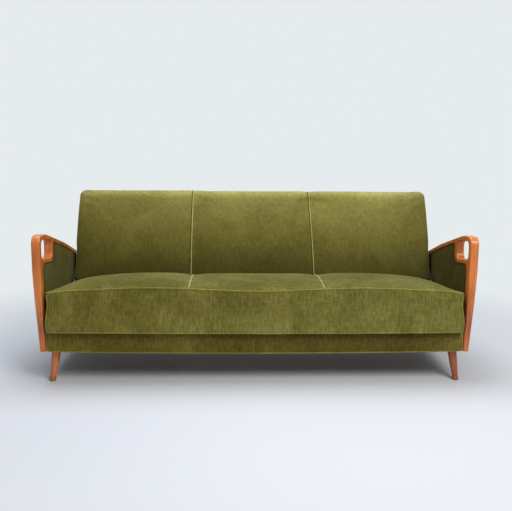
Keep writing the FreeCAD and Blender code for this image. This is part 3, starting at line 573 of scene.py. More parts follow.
def line_over(thing: bpy.types.Object, spots: Sequence[Spot], lift: float) -> list[Point]:
    """Lay a line over a surface.

    Args:
        thing: The piece that carries the line.
        spots: Places near the surface, each with its direction outwards.
        lift: How far above the surface the line lies.

    Returns:
        The line's points. A spot with no surface under it gives none.
    """
    found = [surface_under(thing, place, away, lift) for place, away in spots]
    return [spot for spot in found if spot is not None]


# ---------------------------------------------------------------- finishes


def add_node(tree: bpy.types.NodeTree, kind: str, settings: dict[str, object] | None = None,
             **inputs: object) -> bpy.types.Node:
    """Add a shader node with its settings, and link or set its inputs.

    Args:
        tree: The material's node tree.
        kind: The node's type, such as "ShaderNodeTexNoise".
        settings: Properties of the node itself. "stops" gives a colour ramp its places and
            hex colours.
        inputs: Input sockets by name, with "_" for a space, or by number, as in "i6": a
            value, or an output socket to link.

    Returns:
        The new node.
    """
    node = tree.nodes.new(kind)
    for name, value in (settings or {}).items():
        if name == "stops":
            elements = node.color_ramp.elements
            while len(elements) < len(value):
                elements.new(0.5)
            for element, (place, colour) in zip(elements, value):
                element.position = place
                element.color = linear(colour)
        else:
            setattr(node, name, value)
    for name, value in inputs.items():
        key = int(name[1:]) if name[0] == "i" and name[1:].isdigit() else name.replace("_", " ")
        socket = node.inputs[key]
        if isinstance(value, bpy.types.NodeSocket):
            tree.links.new(value, socket)
        else:
            socket.default_value = value
    return node


class Grain(Enum):
    """The direction in which the grain of a wooden piece runs."""

    UP = "from the floor up"
    ALONG = "from end to end of the sofa"
    DEEP = "from front to rear"

    def stretch(self, across: float, with_grain: float) -> Point:
        """Stretch a pattern along the grain.

        Args:
            across: The pattern's scale across the grain.
            with_grain: Its scale along the grain.

        Returns:
            Its scale on each axis.
        """
        return {Grain.UP: (across, across, with_grain),
                Grain.ALONG: (with_grain, across, across),
                Grain.DEEP: (across, with_grain, across)}[self]


@dataclass(frozen=True)
class Finish:
    """Common ground of every finish: a named material with a principled surface."""

    name: str

    def material(self) -> bpy.types.Material:
        """Build the material when it is first asked for.

        Returns:
            The material.
        """
        found = bpy.data.materials.get(self.name)
        if found:
            return found
        made = bpy.data.materials.new(self.name)
        made.use_nodes = True
        tree = made.node_tree
        self.dress(tree, tree.nodes["Principled BSDF"])
        return made

    def dress(self, tree: bpy.types.NodeTree, surface: bpy.types.Node) -> None:
        """Set up the surface. Each finish has its own way."""
        raise NotImplementedError

    @staticmethod
    def place(tree: bpy.types.NodeTree) -> bpy.types.NodeSocket:
        """Return the socket of the place on the piece, in metres."""
        return add_node(tree, "ShaderNodeTexCoord").outputs["Object"]

    @staticmethod
    def lay_on(tree: bpy.types.NodeTree, surface: bpy.types.Node, colour: bpy.types.NodeSocket,
               height: bpy.types.NodeSocket | None = None, strength: float = 0.0,
               depth: float = 0.0, **values: object) -> None:
        """Link a colour and a bump to the surface, and set its uniform values.

        Args:
            tree: The material's node tree.
            surface: The principled surface.
            colour: The socket that gives the colour.
            height: The socket that gives the bump's height, or None where there is no bump.
            strength: The bump's strength.
            depth: The bump's depth in metres.
            values: Uniform values for the surface's own sockets, with "_" for a space.
        """
        tree.links.new(colour, surface.inputs["Base Color"])
        for name, value in values.items():
            surface.inputs[name.replace("_", " ")].default_value = value
        if height:
            bump = add_node(tree, "ShaderNodeBump", Strength=strength, Distance=depth,
                            Height=height)
            tree.links.new(bump.outputs[0], surface.inputs["Normal"])


def painted_shade_between(tree: bpy.types.NodeTree, place: bpy.types.NodeSocket, axis: str,
                  low: float, high: float,
                  stops: Sequence[tuple[float, str]]) -> bpy.types.NodeSocket:
    """Paint shade that changes along one axis of the sofa, as light falls on it.

    Args:
        tree: The material's node tree.
        place: The socket of the place on the piece.
        axis: "X" or "Z".
        low: Where the first shade stands, in metres.
        high: Where the last shade stands.
        stops: Each shade with its share of the way from low to high.

    Returns:
        The shade's socket, by which the colour is multiplied.
    """
    where = add_node(tree, "ShaderNodeSeparateXYZ", Vector=place).outputs[axis]
    share = add_node(tree, "ShaderNodeMapRange", Value=where, From_Min=low, From_Max=high)
    return add_node(tree, "ShaderNodeValToRGB", {"stops": stops},
                    Fac=share.outputs[0]).outputs["Color"]


def painted_shade_along_sofa(tree: bpy.types.NodeTree, place: bpy.types.NodeSocket,
                shades: Sequence[str]) -> bpy.types.NodeSocket:
    """Paint shade that changes from the left end of the sofa to the right end.

    Args:
        tree: The material's node tree.
        place: The socket of the place on the piece.
        shades: Evenly spaced hex colours.

    Returns:
        The shade's socket, by which the colour is multiplied.
    """
    stops = tuple(zip(np.linspace(0, 1, len(shades)), shades))
    return painted_shade_between(tree, place, "X", -PAINTED_SHADE_HALF, PAINTED_SHADE_HALF, stops)


def with_painted_shade(tree: bpy.types.NodeTree, colour: bpy.types.NodeSocket,
           share: bpy.types.NodeSocket) -> bpy.types.NodeSocket:
    """Multiply a colour by a painted shade, and return the new colour's socket."""
    return add_node(tree, "ShaderNodeMix", {"data_type": "RGBA", "blend_type": "MULTIPLY"},
                    i0=1.0, i6=colour, i7=share).outputs[2]


@dataclass(frozen=True)
class CottonVelvet(Finish):
    """Cotton velvet: a short upright pile, dull face on, that glows softly at its edges.

    Hands leave it brushed in soft patches, so its shade wanders over 5 to 20 cm. Faces that
    look up are darkened by painted shade. Painted shade also changes with height, as on the
    back, which is painted darker towards its foot and lighter towards its top, and it drifts
    from one end of the sofa to the other. The rows of pile are under 1 mm apart in life. They
    are drawn 5 mm apart, so that they show. Cotton gives off hardly any gloss, so its
    highlight is turned down.
    """

    dark: str
    body: str
    light: str
    glow: str = "aeb57a"
    sheen: float = 0.40
    # Painted shade: the share of the colour taken from faces that look up.
    painted_top_shade: float = 0.0
    # Painted shade by height: multipliers at shares of the way between the next two heights.
    painted_height_shade: tuple[tuple[float, str], ...] = ()
    painted_height_shade_from: float = 0.0
    painted_height_shade_to: float = 1.0
    # Painted shade from the left end of the sofa to the right end, as multipliers.
    painted_end_shades: tuple[str, ...] = ()

    def dress(self, tree: bpy.types.NodeTree, surface: bpy.types.Node) -> None:
        """Mix brushed patches and pile rows, then press and fade them.

        Args:
            tree: The material's node tree.
            surface: The principled surface.
        """
        place = self.place(tree)
        # Patches are up to 200 mm wide. Rows of pile are 5 mm apart and run on for 33 mm, and
        # the picks of the weave are 5 mm apart and run on for 29 mm.
        patches = add_node(tree, "ShaderNodeTexNoise", Vector=place, Scale=5.0, Detail=4.0,
                           Roughness=0.6, Distortion=0.7)
        across = add_node(tree, "ShaderNodeMapping", Vector=place, Scale=(200.0, 60.0, 30.0))
        along = add_node(tree, "ShaderNodeMapping", Vector=place, Scale=(34.0, 60.0, 190.0))
        rows, picks = (add_node(tree, "ShaderNodeTexNoise", Vector=way.outputs[0], Scale=1.0,
                                Detail=2.0, Roughness=0.6) for way in (across, along))
        pile = add_node(tree, "ShaderNodeMix", i0=0.36, i2=rows.outputs["Fac"],
                        i3=picks.outputs["Fac"])
        shade = add_node(tree, "ShaderNodeMix", i0=0.38, i2=pile.outputs[0],
                         i3=patches.outputs["Fac"])
        tone = add_node(tree, "ShaderNodeValToRGB",
                        {"stops": [(0.33, self.dark), (0.50, self.body), (0.67, self.light)]},
                        Fac=shade.outputs[0])
        colour = tone.outputs["Color"]
        for share in self.painted_shades(tree, place):
            colour = with_painted_shade(tree, colour, share)
        self.lay_on(tree, surface, colour, pile.outputs[0], 0.22, 1.2 * MM, Roughness=0.95,
                    Specular_IOR_Level=0.08, Sheen_Weight=self.sheen, Sheen_Roughness=0.35,
                    Sheen_Tint=linear(self.glow))

    def painted_shades(self, tree: bpy.types.NodeTree,
             place: bpy.types.NodeSocket) -> list[bpy.types.NodeSocket]:
        """Work out the painted shade: on faces that look up, by height and from end to end.

        Args:
            tree: The material's node tree.
            place: The socket of the place on the piece.

        Returns:
            The sockets by which the colour is multiplied.
        """
        shares = []
        # Painted shade on faces that look up.
        if self.painted_top_shade:
            normal = add_node(tree, "ShaderNodeTexCoord").outputs["Normal"]
            facing = add_node(tree, "ShaderNodeSeparateXYZ", Vector=normal)
            flat = add_node(tree, "ShaderNodeMapRange", {"interpolation_type": "SMOOTHSTEP"},
                            Value=facing.outputs["Z"], From_Min=0.45, From_Max=0.95, To_Min=1.0,
                            To_Max=1.0 - self.painted_top_shade)
            shares.append(flat.outputs[0])
        # Painted shade, darker or lighter by height.
        if self.painted_height_shade:
            shares.append(painted_shade_between(tree, place, "Z", self.painted_height_shade_from, self.painted_height_shade_to,
                                        self.painted_height_shade))
        # Painted shade from end to end of the sofa.
        if self.painted_end_shades:
            shares.append(painted_shade_along_sofa(tree, place, self.painted_end_shades))
        return shares


@dataclass(frozen=True)
class StainedBeech(Finish):
    """Steamed beech stained orange brown under a satin varnish, or dark and left dull.

    Growth rings run as soft stripes about 9 mm apart, with the short dark flecks of beech.
    Hands and the floor mop have darkened the stain in long soft patches. The varnish gives a
    soft highlight along each rounded edge. The dull wood has no coat and next to no gleam.
    """

    grain: Grain
    dark: str = "84421a"
    body: str = "c46b28"
    light: str = "e08839"
    roughness: float = 0.42
    coat: float = 0.30
    gleam: float = 0.5
    # Painted shade from the left end of the sofa to the right end, as multipliers.
    painted_end_shades: tuple[str, ...] = ()

    def dress(self, tree: bpy.types.NodeTree, surface: bpy.types.Node) -> None:
        """Mix growth rings, pores, flecks and soft patches under the varnish.

        Args:
            tree: The material's node tree.
            surface: The principled surface.
        """
        place = self.place(tree)
        # Light and dark rings together are 18 mm wide, pores are 2.4 by 38 mm, flecks are 3 by
        # 11 mm, and patches are 110 by 290 mm.
        wide, fine, dots, long = (
            add_node(tree, "ShaderNodeMapping", Vector=place,
                     Scale=self.grain.stretch(*scale)).outputs[0]
            for scale in ((55.0, 3.0), (420.0, 26.0), (330.0, 90.0), (9.0, 3.5)))
        rings = add_node(tree, "ShaderNodeTexNoise", Vector=wide, Scale=1.0, Detail=4.0,
                         Roughness=0.6, Distortion=0.8)
        pores = add_node(tree, "ShaderNodeTexNoise", Vector=fine, Scale=1.0, Detail=2.0)
        flecks = add_node(tree, "ShaderNodeTexVoronoi", Vector=dots, Scale=1.0)
        patches = add_node(tree, "ShaderNodeTexNoise", Vector=long, Scale=1.0, Detail=3.0)
        share = add_node(tree, "ShaderNodeMix", i0=0.30, i2=rings.outputs["Fac"],
                         i3=pores.outputs["Fac"])
        share = add_node(tree, "ShaderNodeMix", i0=0.35, i2=share.outputs[0],
                         i3=patches.outputs["Fac"])
        tone = add_node(tree, "ShaderNodeValToRGB",
                        {"stops": [(0.36, self.dark), (0.50, self.body), (0.64, self.light)]},
                        Fac=share.outputs[0])
        near = add_node(tree, "ShaderNodeMapRange", Value=flecks.outputs["Distance"],
                        From_Min=0.10, From_Max=0.18, To_Min=0.30, To_Max=0.0)
        mix = add_node(tree, "ShaderNodeMix", {"data_type": "RGBA"}, i0=near.outputs[0],
                       i6=tone.outputs["Color"], i7=linear(self.dark))
        colour = mix.outputs[2]
        # Painted shade from end to end of the sofa.
        if self.painted_end_shades:
            colour = with_painted_shade(tree, colour, painted_shade_along_sofa(tree, place, self.painted_end_shades))
        self.lay_on(tree, surface, colour, pores.outputs["Fac"], 0.12, 0.4 * MM,
                    Roughness=self.roughness, Coat_Weight=self.coat, Coat_Roughness=0.22,
                    Specular_IOR_Level=self.gleam)


@dataclass(frozen=True)
class BareWood(Finish):
    """Planed spruce or plywood with no finish, as inside a sofa: pale, dry and striped."""

    grain: Grain
    dark: str = "a5834f"
    body: str = "c8a873"
    light: str = "d9be8d"

    def dress(self, tree: bpy.types.NodeTree, surface: bpy.types.Node) -> None:
        """Draw growth rings about 12 mm apart, and a faint fuzz.

        Args:
            tree: The material's node tree.
            surface: The principled surface.
        """
        wide = add_node(tree, "ShaderNodeMapping", Vector=self.place(tree),
                        Scale=self.grain.stretch(42.0, 1.6))
        rings = add_node(tree, "ShaderNodeTexNoise", Vector=wide.outputs[0], Scale=1.0,
                         Detail=5.0, Roughness=0.62, Distortion=0.4)
        tone = add_node(tree, "ShaderNodeValToRGB",
                        {"stops": [(0.34, self.dark), (0.5, self.body), (0.68, self.light)]},
                        Fac=rings.outputs["Fac"])
        self.lay_on(tree, surface, tone.outputs["Color"], rings.outputs["Fac"], 0.2, 0.5 * MM,
                    Roughness=0.8)


@dataclass(frozen=True)
class WovenCloth(Finish):
    """A plain weave, such as jute webbing or hessian: matt, with crossing threads.

    The threads are 1 to 2 mm wide in life. They are drawn 5 mm wide, so that they show.
    """

    dark: str
    light: str
    thread: float = 5 * MM

    def dress(self, tree: bpy.types.NodeTree, surface: bpy.types.Node) -> None:
        """Cross three sets of threads and let the cloth darken in patches.

        Args:
            tree: The material's node tree.
            surface: The principled surface.
        """
        place = self.place(tree)
        # At scale 1 one light and one dark band together are pi / 10 wide.
        scale = math.pi / 20 / self.thread
        waves = [add_node(tree, "ShaderNodeTexWave", {"bands_direction": axis}, Vector=place,
                          Scale=scale, Distortion=1.2, Detail=2.0).outputs["Fac"]
                 for axis in ("X", "Y", "Z")]
        total = waves[0]
        for wave in waves[1:]:
            total = add_node(tree, "ShaderNodeMath", {"operation": "ADD"}, i0=total,
                             i1=wave).outputs[0]
        share = add_node(tree, "ShaderNodeMath", {"operation": "DIVIDE"}, i0=total, i1=3.0)
        wear = add_node(tree, "ShaderNodeTexNoise", Vector=place, Scale=14.0, Detail=4.0)
        mixed = add_node(tree, "ShaderNodeMath", {"operation": "MULTIPLY_ADD"},
                         i0=wear.outputs["Fac"], i1=0.5, i2=share.outputs[0])
        tone = add_node(tree, "ShaderNodeValToRGB",
                        {"stops": [(0.45, self.dark), (1.0, self.light)]}, Fac=mixed.outputs[0])
        self.lay_on(tree, surface, tone.outputs["Color"], share.outputs[0], 0.4, 0.6 * MM,
                    Roughness=0.95)


@dataclass(frozen=True)
class Metal(Finish):
    """Pressed or turned metal, bare or enamelled, a little uneven and rubbed."""

    colour: str
    rubbed: str
    metallic: float
    roughness: float

    def dress(self, tree: bpy.types.NodeTree, surface: bpy.types.Node) -> None:
        """Let shade and gloss wander over a centimetre or two.

        Args:
            tree: The material's node tree.
            surface: The principled surface.
        """
        wear = add_node(tree, "ShaderNodeTexNoise", Vector=self.place(tree), Scale=60.0,
                        Detail=5.0, Roughness=0.6)
        tone = add_node(tree, "ShaderNodeValToRGB",
                        {"stops": [(0.4, self.colour), (0.75, self.rubbed)]},
                        Fac=wear.outputs["Fac"])
        gloss = add_node(tree, "ShaderNodeMapRange", Value=wear.outputs["Fac"],
                         To_Min=self.roughness - 0.06, To_Max=self.roughness + 0.14)
        tree.links.new(gloss.outputs[0], surface.inputs["Roughness"])
        self.lay_on(tree, surface, tone.outputs["Color"], Metallic=self.metallic)


@dataclass(frozen=True)
class Rubber(Finish):
    """Moulded black rubber with a dusty bloom."""

    colour: str = "1d1c1a"
    bloom: str = "3a3834"

    def dress(self, tree: bpy.types.NodeTree, surface: bpy.types.Node) -> None:
        """Dust the black with a paler bloom.

        Args:
            tree: The material's node tree.
            surface: The principled surface.
        """
        dust = add_node(tree, "ShaderNodeTexNoise", Vector=self.place(tree), Scale=120.0,
                        Detail=3.0)
        tone = add_node(tree, "ShaderNodeValToRGB",
                        {"stops": [(0.45, self.colour), (0.8, self.bloom)]},
                        Fac=dust.outputs["Fac"])
        self.lay_on(tree, surface, tone.outputs["Color"], Roughness=0.75)


# Each velvet below carries painted shade. The seat's top is painted darker and cooler, more
# where it looks up and the higher it rises. The back is painted darker towards its foot and
# lighter towards its rolled top, which gives the eye its soft light upper band. The fascia is
# painted deeper, for the shade under the seat's overhang, and darker towards the right. The
# arms' velvet is the same cloth painted a cooler, darker green for the shade it stands in,
# and browner on the right. These four also drift a little in painted shade from end to end.
SEAT_VELVET = CottonVelvet("olive_cotton_velvet_of_the_seat", "564f20", "787137", "989257",
                           painted_top_shade=0.12, painted_end_shades=("f8f4e2", "f8ffff"),
                           painted_height_shade_from=0.24, painted_height_shade_to=0.48,
                           painted_height_shade=((0.0, "ffffff"), (0.25, "fafafa"), (0.62, "e8e8e8"),
                                 (0.86, "e5e6e9"), (1.0, "dce0ee")))
BACK_VELVET = CottonVelvet("olive_cotton_velvet_of_the_back", "7d7843", "9a9659", "b4b074",
                           painted_end_shades=("e7e5dd", "f2f1eb", "eeede8", "f2f2ee", "eef0ee",
                                       "ffffff", "fafcff", "e8ebed"),
                           painted_height_shade_from=0.38, painted_height_shade_to=0.85,
                           painted_height_shade=((0.0, "85826a"), (0.21, "918d72"), (0.51, "afaa8b"),
                                 (0.85, "c8c4ad"), (0.92, "d4cfb3"), (1.0, "ffffff")))
FASCIA_VELVET = CottonVelvet("olive_cotton_velvet_of_the_fascia", "4c4417", "695e29", "857c3e",
                             sheen=0.3, painted_end_shades=("fffceb", "f7f5e6", "f0ede0", "e6e3d9",
                                                    "dedbd1", "d4d1c9", "c4c2bf", "f7f9ff"))
# Piping and seam cords are painted lighter than the cloth beside them: a painted highlight
# where their round tops catch the light. The fold beside each back seam is painted shadow: a
# dark cord where the channel lies in shade. The gimp is a dark braid.
PIPING_VELVET_PAINTED_LIGHTER = CottonVelvet("olive_velvet_piping_painted_lighter", dark="6a652a", body="847e3b", light="9a944d",
                           glow="c4c078")
SEAM_CORD_PAINTED_LIGHTER = CottonVelvet("olive_velvet_seam_piping", "7f7b45", "9e9a5e", "b3af73",
                           glow="c4c078")
SEAM_SHADOW_VELVET = CottonVelvet("painted_shadow_beside_the_back_seam", "38330f", "454017", "565023",
                           sheen=0.1)
# Painted shade: the arms' cloth is drawn darker, and browner on the right.
ARM_VELVET = CottonVelvet("olive_velvet_of_the_arms", "404022", "504e29", "5f5b33",
                          glow="7d7a45", sheen=0.15, painted_end_shades=("ffffff", "ecd8c0"))
GIMP = CottonVelvet("dark_green_gimp", dark="2b2a14", body="3a391c", light="565431",
                    glow="7d7a45", sheen=0.1)
# The shown wood is varnished. The right legs are painted darker and cooler: painted shade. The
# rear posts and the base rails are dark and dull.
BEECH_UP = StainedBeech("stained_beech_upright", Grain.UP)
BEECH_DEEP = StainedBeech("stained_beech_rail", Grain.DEEP)
BEECH_LEG = StainedBeech("stained_beech_of_the_legs", Grain.UP,
                         painted_end_shades=("ffffff", "ffffff", "c8bcc8"))
DARK_BEECH = StainedBeech("dark_stained_beech", Grain.UP, "2a1a10", "3f2817", "54361f",
                          roughness=0.8, coat=0.0, gleam=0.12)
DARK_BEECH_DEEP = replace(DARK_BEECH, name="dark_stained_beech_rail", grain=Grain.DEEP)
# Inside, the sofa is made of bare wood, jute and steel.
SPRUCE = BareWood("bare_spruce", Grain.ALONG)
SPRUCE_DEEP = BareWood("bare_spruce_crosswise", Grain.DEEP)
SPRUCE_UP = BareWood("bare_spruce_upright", Grain.UP)
PLYWOOD = BareWood("bare_plywood", Grain.ALONG, "8d6f45", "b08f5e", "c4a677")
HARDBOARD = BareWood("brown_hardboard", Grain.ALONG, "46301f", "5b412b", "6b4f37")
JUTE = WovenCloth("jute_webbing", "76603c", "b59c6c")
HESSIAN = WovenCloth("hessian", "6e5a3a", "a68d60")
ENAMEL = Metal("black_enamelled_steel", "100c08", "1d1710", metallic=0.0, roughness=0.85)
ZINC = Metal("zinc_plated_steel", "8f8d86", "b9b6ad", metallic=1.0, roughness=0.35)
FERRULE = Metal("bronzed_ferrule", "8a5730", "b07540", metallic=0.6, roughness=0.42)
RUBBER = Rubber("black_rubber")


# ---------------------------------------------------------------- what the pieces share


@dataclass
class Hinge:
    """The hinge line, about which seat and back turn."""

    y: float
    z: float
    recline: float = math.radians(23.0)

    def lean(self, places: np.ndarray) -> np.ndarray:
        """Take places on the upright back to the leaning one.

        Args:
            places: Rows of X, distance to the rear and height above the hinge line.

        Returns:
            Rows of places in the sofa's own frame.
        """
        sine, cosine = math.sin(self.recline), math.cos(self.recline)
        return np.column_stack([places[:, 0],
                                self.y + places[:, 1] * cosine + places[:, 2] * sine,
                                self.z - places[:, 1] * sine + places[:, 2] * cosine])


def finish_piece(piece: bpy.types.Object, body: str, slot: str, finish: Finish,
                 stands_for: Sequence[str] = (), crease: float = CLOTH_CREASE,
                 flat_faces: bool = False) -> bpy.types.Object:
    """Dress a finished piece, let it ride on its body and report it.

    Args:
        piece: The finished mesh object, at the origin.
        body: The body that it moves with.
        slot: The record's material slot. It is not used.
        finish: Its finish.
        stands_for: The nodes that it replaces.
        crease: Creases sharper than this, in degrees, stay sharp.
        flat_faces: Whether its large faces are flat, so that they shade evenly.

    Returns:
        The piece.
    """
    only(piece)
    bpy.ops.object.shade_smooth_by_angle(angle=math.radians(crease))
    if flat_faces:
        apply_modifier(piece, "WEIGHTED_NORMAL", keep_sharp=True, weight=100)
    piece.data.materials.clear()
    piece.data.materials.append(finish.material())
    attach(piece, body)
    if stands_for:
        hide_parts(*stands_for)
    LOG.info("%s: %d faces on %s", piece.name, len(piece.data.polygons), body)
    return piece


def sew_cord(name: str, points: Sequence[Sequence[float]], radius: float, body: str,
             finish: Finish = PIPING_VELVET_PAINTED_LIGHTER) -> bpy.types.Object:
    """Sew a cord on along a line.

    Args:
        name: The cord's name.
        points: Places on its middle line.
        radius: Half its thickness.
        body: The body that it moves with.
        finish: Its finish.

    Returns:
        The finished cord.
    """
    return finish_piece(cord_along(name, points, radius), body, "velvet", finish)


def sew_cord_pair(name: str, points: Sequence[Sequence[float]], radius: float,
                  body: str) -> None:
    """Sew piping on at the right end of the sofa, and its mirrored twin at the left end.

    Args:
        name: What both are called, without their side.
        points: Places on the right one's middle line.
        radius: Half its thickness.
        body: The body that both move with.
    """
    right = cord_along(f"{name}_right", points, radius)
    for cord in (right, mirrored(right, f"{name}_left")):
        finish_piece(cord, body, "velvet", PIPING_VELVET_PAINTED_LIGHTER)


def stuff(pad: bpy.types.Object, held: np.ndarray, pressure: float = 4.0,
          cap: float = 7 * MM) -> None:
    """Swell a pad by its stuffing with a short cloth simulation.

    Args:
        pad: The pad's mesh object.
        held: For each corner, whether it is nailed or sewn down.
        pressure: Pressure of the stuffing.
        cap: The most that any point may move, in metres.
    """
    before = vertices_of(pad)
    group = pad.vertex_groups.new(name="sewn_down")
    group.add([int(n) for n in np.flatnonzero(held)], 1.0, "REPLACE")
    only(pad)
    bpy.ops.object.modifier_add(type="CLOTH")
    cloth = pad.modifiers[-1]
    cloth.settings.vertex_group_mass = group.name
    cloth.settings.use_pressure = True
    cloth.settings.uniform_pressure_force = pressure
    cloth.settings.effector_weights.gravity = 0.0
    cloth.settings.quality = 4
    cloth.collision_settings.use_collision = False
    for frame in range(1, STUFFING_FRAMES + 1):
        bpy.context.scene.frame_set(frame)
    bpy.ops.object.modifier_apply(modifier=cloth.name)
    bpy.context.scene.frame_set(1)
    moved = vertices_of(pad) - before
    length = np.linalg.norm(moved, axis=1, keepdims=True)
    move_vertices(pad, before + moved * np.minimum(1, cap / np.maximum(length, 1e-9)))
    pad.vertex_groups.clear()


@dataclass
class Channels:
    """The two sewn seams that part a pad into three panels.

    The cloth gathers in small puckers beside a seam. They start half a channel's width from it
    and reach a little over two widths, and each is long across the seam and short along it.
    """

    places: tuple[float, float]
    width: float = 13 * MM
    depth: float = 9 * MM
    sharpness: float = 1.2
    pucker: float = 1.5 * MM
    pucker_size: float = 26 * MM
    pucker_start: float = 0.5
    pucker_reach: float = 2.2
    pucker_squeeze: float = 0.35

    def away(self, x: np.ndarray) -> np.ndarray:
        """Distance to the nearest seam at places along the sofa."""
        return np.min([np.abs(x - seam) for seam in self.places], axis=0)

    def dip(self, x: np.ndarray) -> np.ndarray:
        """Depth of the sewn channels at places along the sofa."""
        return self.depth * np.exp(-(self.away(x) / self.width) ** self.sharpness)

    def puckers(self, places: np.ndarray, seed: float) -> np.ndarray:
        """Height of the small gathers on both sides of a seam.

        Args:
            places: Places on the pad, as rows.
            seed: Any number: another one gives other puckers.

        Returns:
            A height for each place.
        """
        away = self.away(places[:, 0])
        squeezed = places * np.array([self.pucker_squeeze, 1.0, 1.0])
        near = np.exp(-(away / (self.pucker_reach * self.width)) ** 2) \
            * smooth_step(away / (self.pucker_start * self.width))
        return ripple(squeezed, self.pucker_size, seed) * self.pucker * near


# ---------------------------------------------------------------- seat


@dataclass
class Seat:
    """The sprung seat: one long pad of three sewn panels with piped edges.

    Its top is crowned, highest at the crest, a share of the depth from the front, and falls
    from there by a power of the way. Its channels are at their full depth from seam_start on,
    another share of the depth. Its front and ends swell out below the waist, a share of the
    height, and draw in above it, most of all towards the front. Beside the front posts the
    ends reach a little further out. The front edge swells over each side panel and droops at
    its corners, and the hem sags.
    """

    low: Vector
    high: Vector
    front_height: float = 446 * MM
    rear_height: float = 385 * MM
    crown: float = 49 * MM
    crest: float = 0.56
    front_fall: float = 1.6
    rear_fall: float = 3.0
    front_swell: float = 15 * MM
    corner_droop: float = 13 * MM
    droop_run: float = 120 * MM
    edge: float = 15 * MM
    hem_edge: float = 0.35
    swell_run: float = 125 * MM
    waist: float = 0.45
    waist_in: float = 7.5 * MM
    waist_out: float = 3.5 * MM
    waist_at_rear: float = 0.35
    waist_on_front: float = 0.35
    waist_start: float = 300 * MM
    waist_run: float = 250 * MM
    front_run: float = 40 * MM
    side_run: float = 60 * MM
    reach: float = 4 * MM
    reach_start: float = 150 * MM
    reach_run: float = 100 * MM
    sag: float = 5 * MM
    sag_run: float = 50 * MM
    front_seam: float = -29 * MM
    seam_shift: float = 9 * MM
    seam_start: float = 0.12
    seam_lift: float = 0.4 * MM
    piping: float = 3.2 * MM
    stitch: float = 1.3 * MM
    fill: float = 0.85
    slices: tuple[int, int, int] = (150, 44, 16)

    def __post_init__(self) -> None:
        """Work out the seams' places."""
        self.half = self.high.x
        seam = self.half / 3 - self.seam_shift
        self.channels = Channels((-seam, seam))
        self.depth = self.high.y - self.low.y

    def front_edge(self, x: np.ndarray) -> np.ndarray:
        """Height of the piped front edge.

        Args:
            x: Places along the sofa.

        Returns:
            A height for each place.
        """
        from_end = np.clip((self.half - np.abs(x)) / self.droop_run, 0, 1)
        return self.front_height + self.front_swell * np.sin(math.pi * x / self.half) ** 2 \
            - self.corner_droop * (1 - from_end) ** 2

    def top(self, x: np.ndarray, y: np.ndarray) -> np.ndarray:
        """Height of the sitting surface.

        Args:
            x: Places along the sofa.
            y: Places from front to rear.

        Returns:
            A height for each place.
        """
        deep = np.clip((y - self.low.y) / self.depth, 0, 1)
        front = self.front_edge(x)
        rise = 1 - np.where(
            deep < self.crest, np.abs((self.crest - deep) / self.crest) ** self.front_fall,
            np.abs((deep - self.crest) / (1 - self.crest)) ** self.rear_fall)
        share = 1 - np.exp(-np.maximum(self.half - np.abs(x), 0) / self.swell_run)
        dip = self.channels.dip(x) * smooth_step(deep / self.seam_start)
        swell = (self.crown * rise - dip) * share
        return front + (self.rear_height - front) * deep + swell

    def form(self, places: np.ndarray) -> np.ndarray:
        """Give the sliced block the seat's crown, its curved ends and its sagging hem.

        Args:
            places: The block's corners, as rows.

        Returns:
            The moved corners.
        """
        low, high = np.array(self.low), np.array([self.high.x, self.high.y, self.front_height])
        upper = smooth_step((places[:, 2:3] - low[2]) / (high[2] - low[2]) * 2 - 0.5)
        radius = np.full((len(places), 3), self.edge) \
            * (self.hem_edge + (1 - self.hem_edge) * upper)
        x, y, z = rounded_box(places, low, high, radius).T
        share = np.clip((z - low[2]) / (high[2] - low[2]), 0, 1)
        bottom = low[2] - self.hem(x, y)
        z = bottom + share * (self.top(x, y) - bottom)
        above = (share - self.waist) / (1 - self.waist)
        bend = np.where(above > 0, -self.waist_in * np.sin(math.pi * above),
                        self.waist_out * np.sin(math.pi * share / self.waist))
        front_near = smooth_step((low[1] + self.front_run - y) / self.front_run)
        side_near = smooth_step((np.abs(x) - self.half + self.side_run) / self.side_run)
        to_front = self.waist_at_rear + (1 - self.waist_at_rear) * smooth_step(
            (low[1] + self.waist_start - y) / self.waist_run)
        y = y - front_near * bend * self.waist_on_front
        at_post = smooth_step((low[1] + self.reach_start - y) / self.reach_run)
        x = x + np.sign(x) * side_near * (bend * to_front + self.reach * at_post)
        return np.column_stack([x, y, z])

    def hem(self, x: np.ndarray, y: np.ndarray) -> np.ndarray:
        """How far the front hem hangs down.

        Args:
            x: Places along the sofa.
            y: Places from front to rear.

        Returns:
            A drop for each place.
        """
        near = smooth_step((self.low.y + self.sag_run - y) / self.sag_run)
        return self.sag * (1 - (x / self.half) ** 2) * near

    def cushion(self) -> bpy.types.Object:
        """Model the pad, stuff it, gather its seams and make it a little uneven.

        Returns:
            The finished pad.
        """
        pad = sliced_block("seat_pad", self.low, (self.high.x, self.high.y, self.front_height),
                           self.slices)
        flat = vertices_of(pad)
        on_top = flat[:, 2] > self.front_height - NEAR
        on_front = flat[:, 1] < self.low.y + NEAR
        on_side = np.abs(flat[:, 0]) > self.half - NEAR
        step = 2 * self.half / self.slices[0]
        held = (flat[:, 2] < self.low.z + NEAR) | (flat[:, 1] > self.high.y - NEAR)
        held |= on_top & (on_front | on_side)
        held |= on_front & on_side
        held |= on_top & (self.channels.away(flat[:, 0]) < step / 2)
        reshape(pad, self.form)
        stuff(pad, held)
        subdivide_surface(pad)
        self.unsettle(pad)
        finish_piece(pad, "seat", "velvet", SEAT_VELVET, ("seat_cushion",))
        return pad

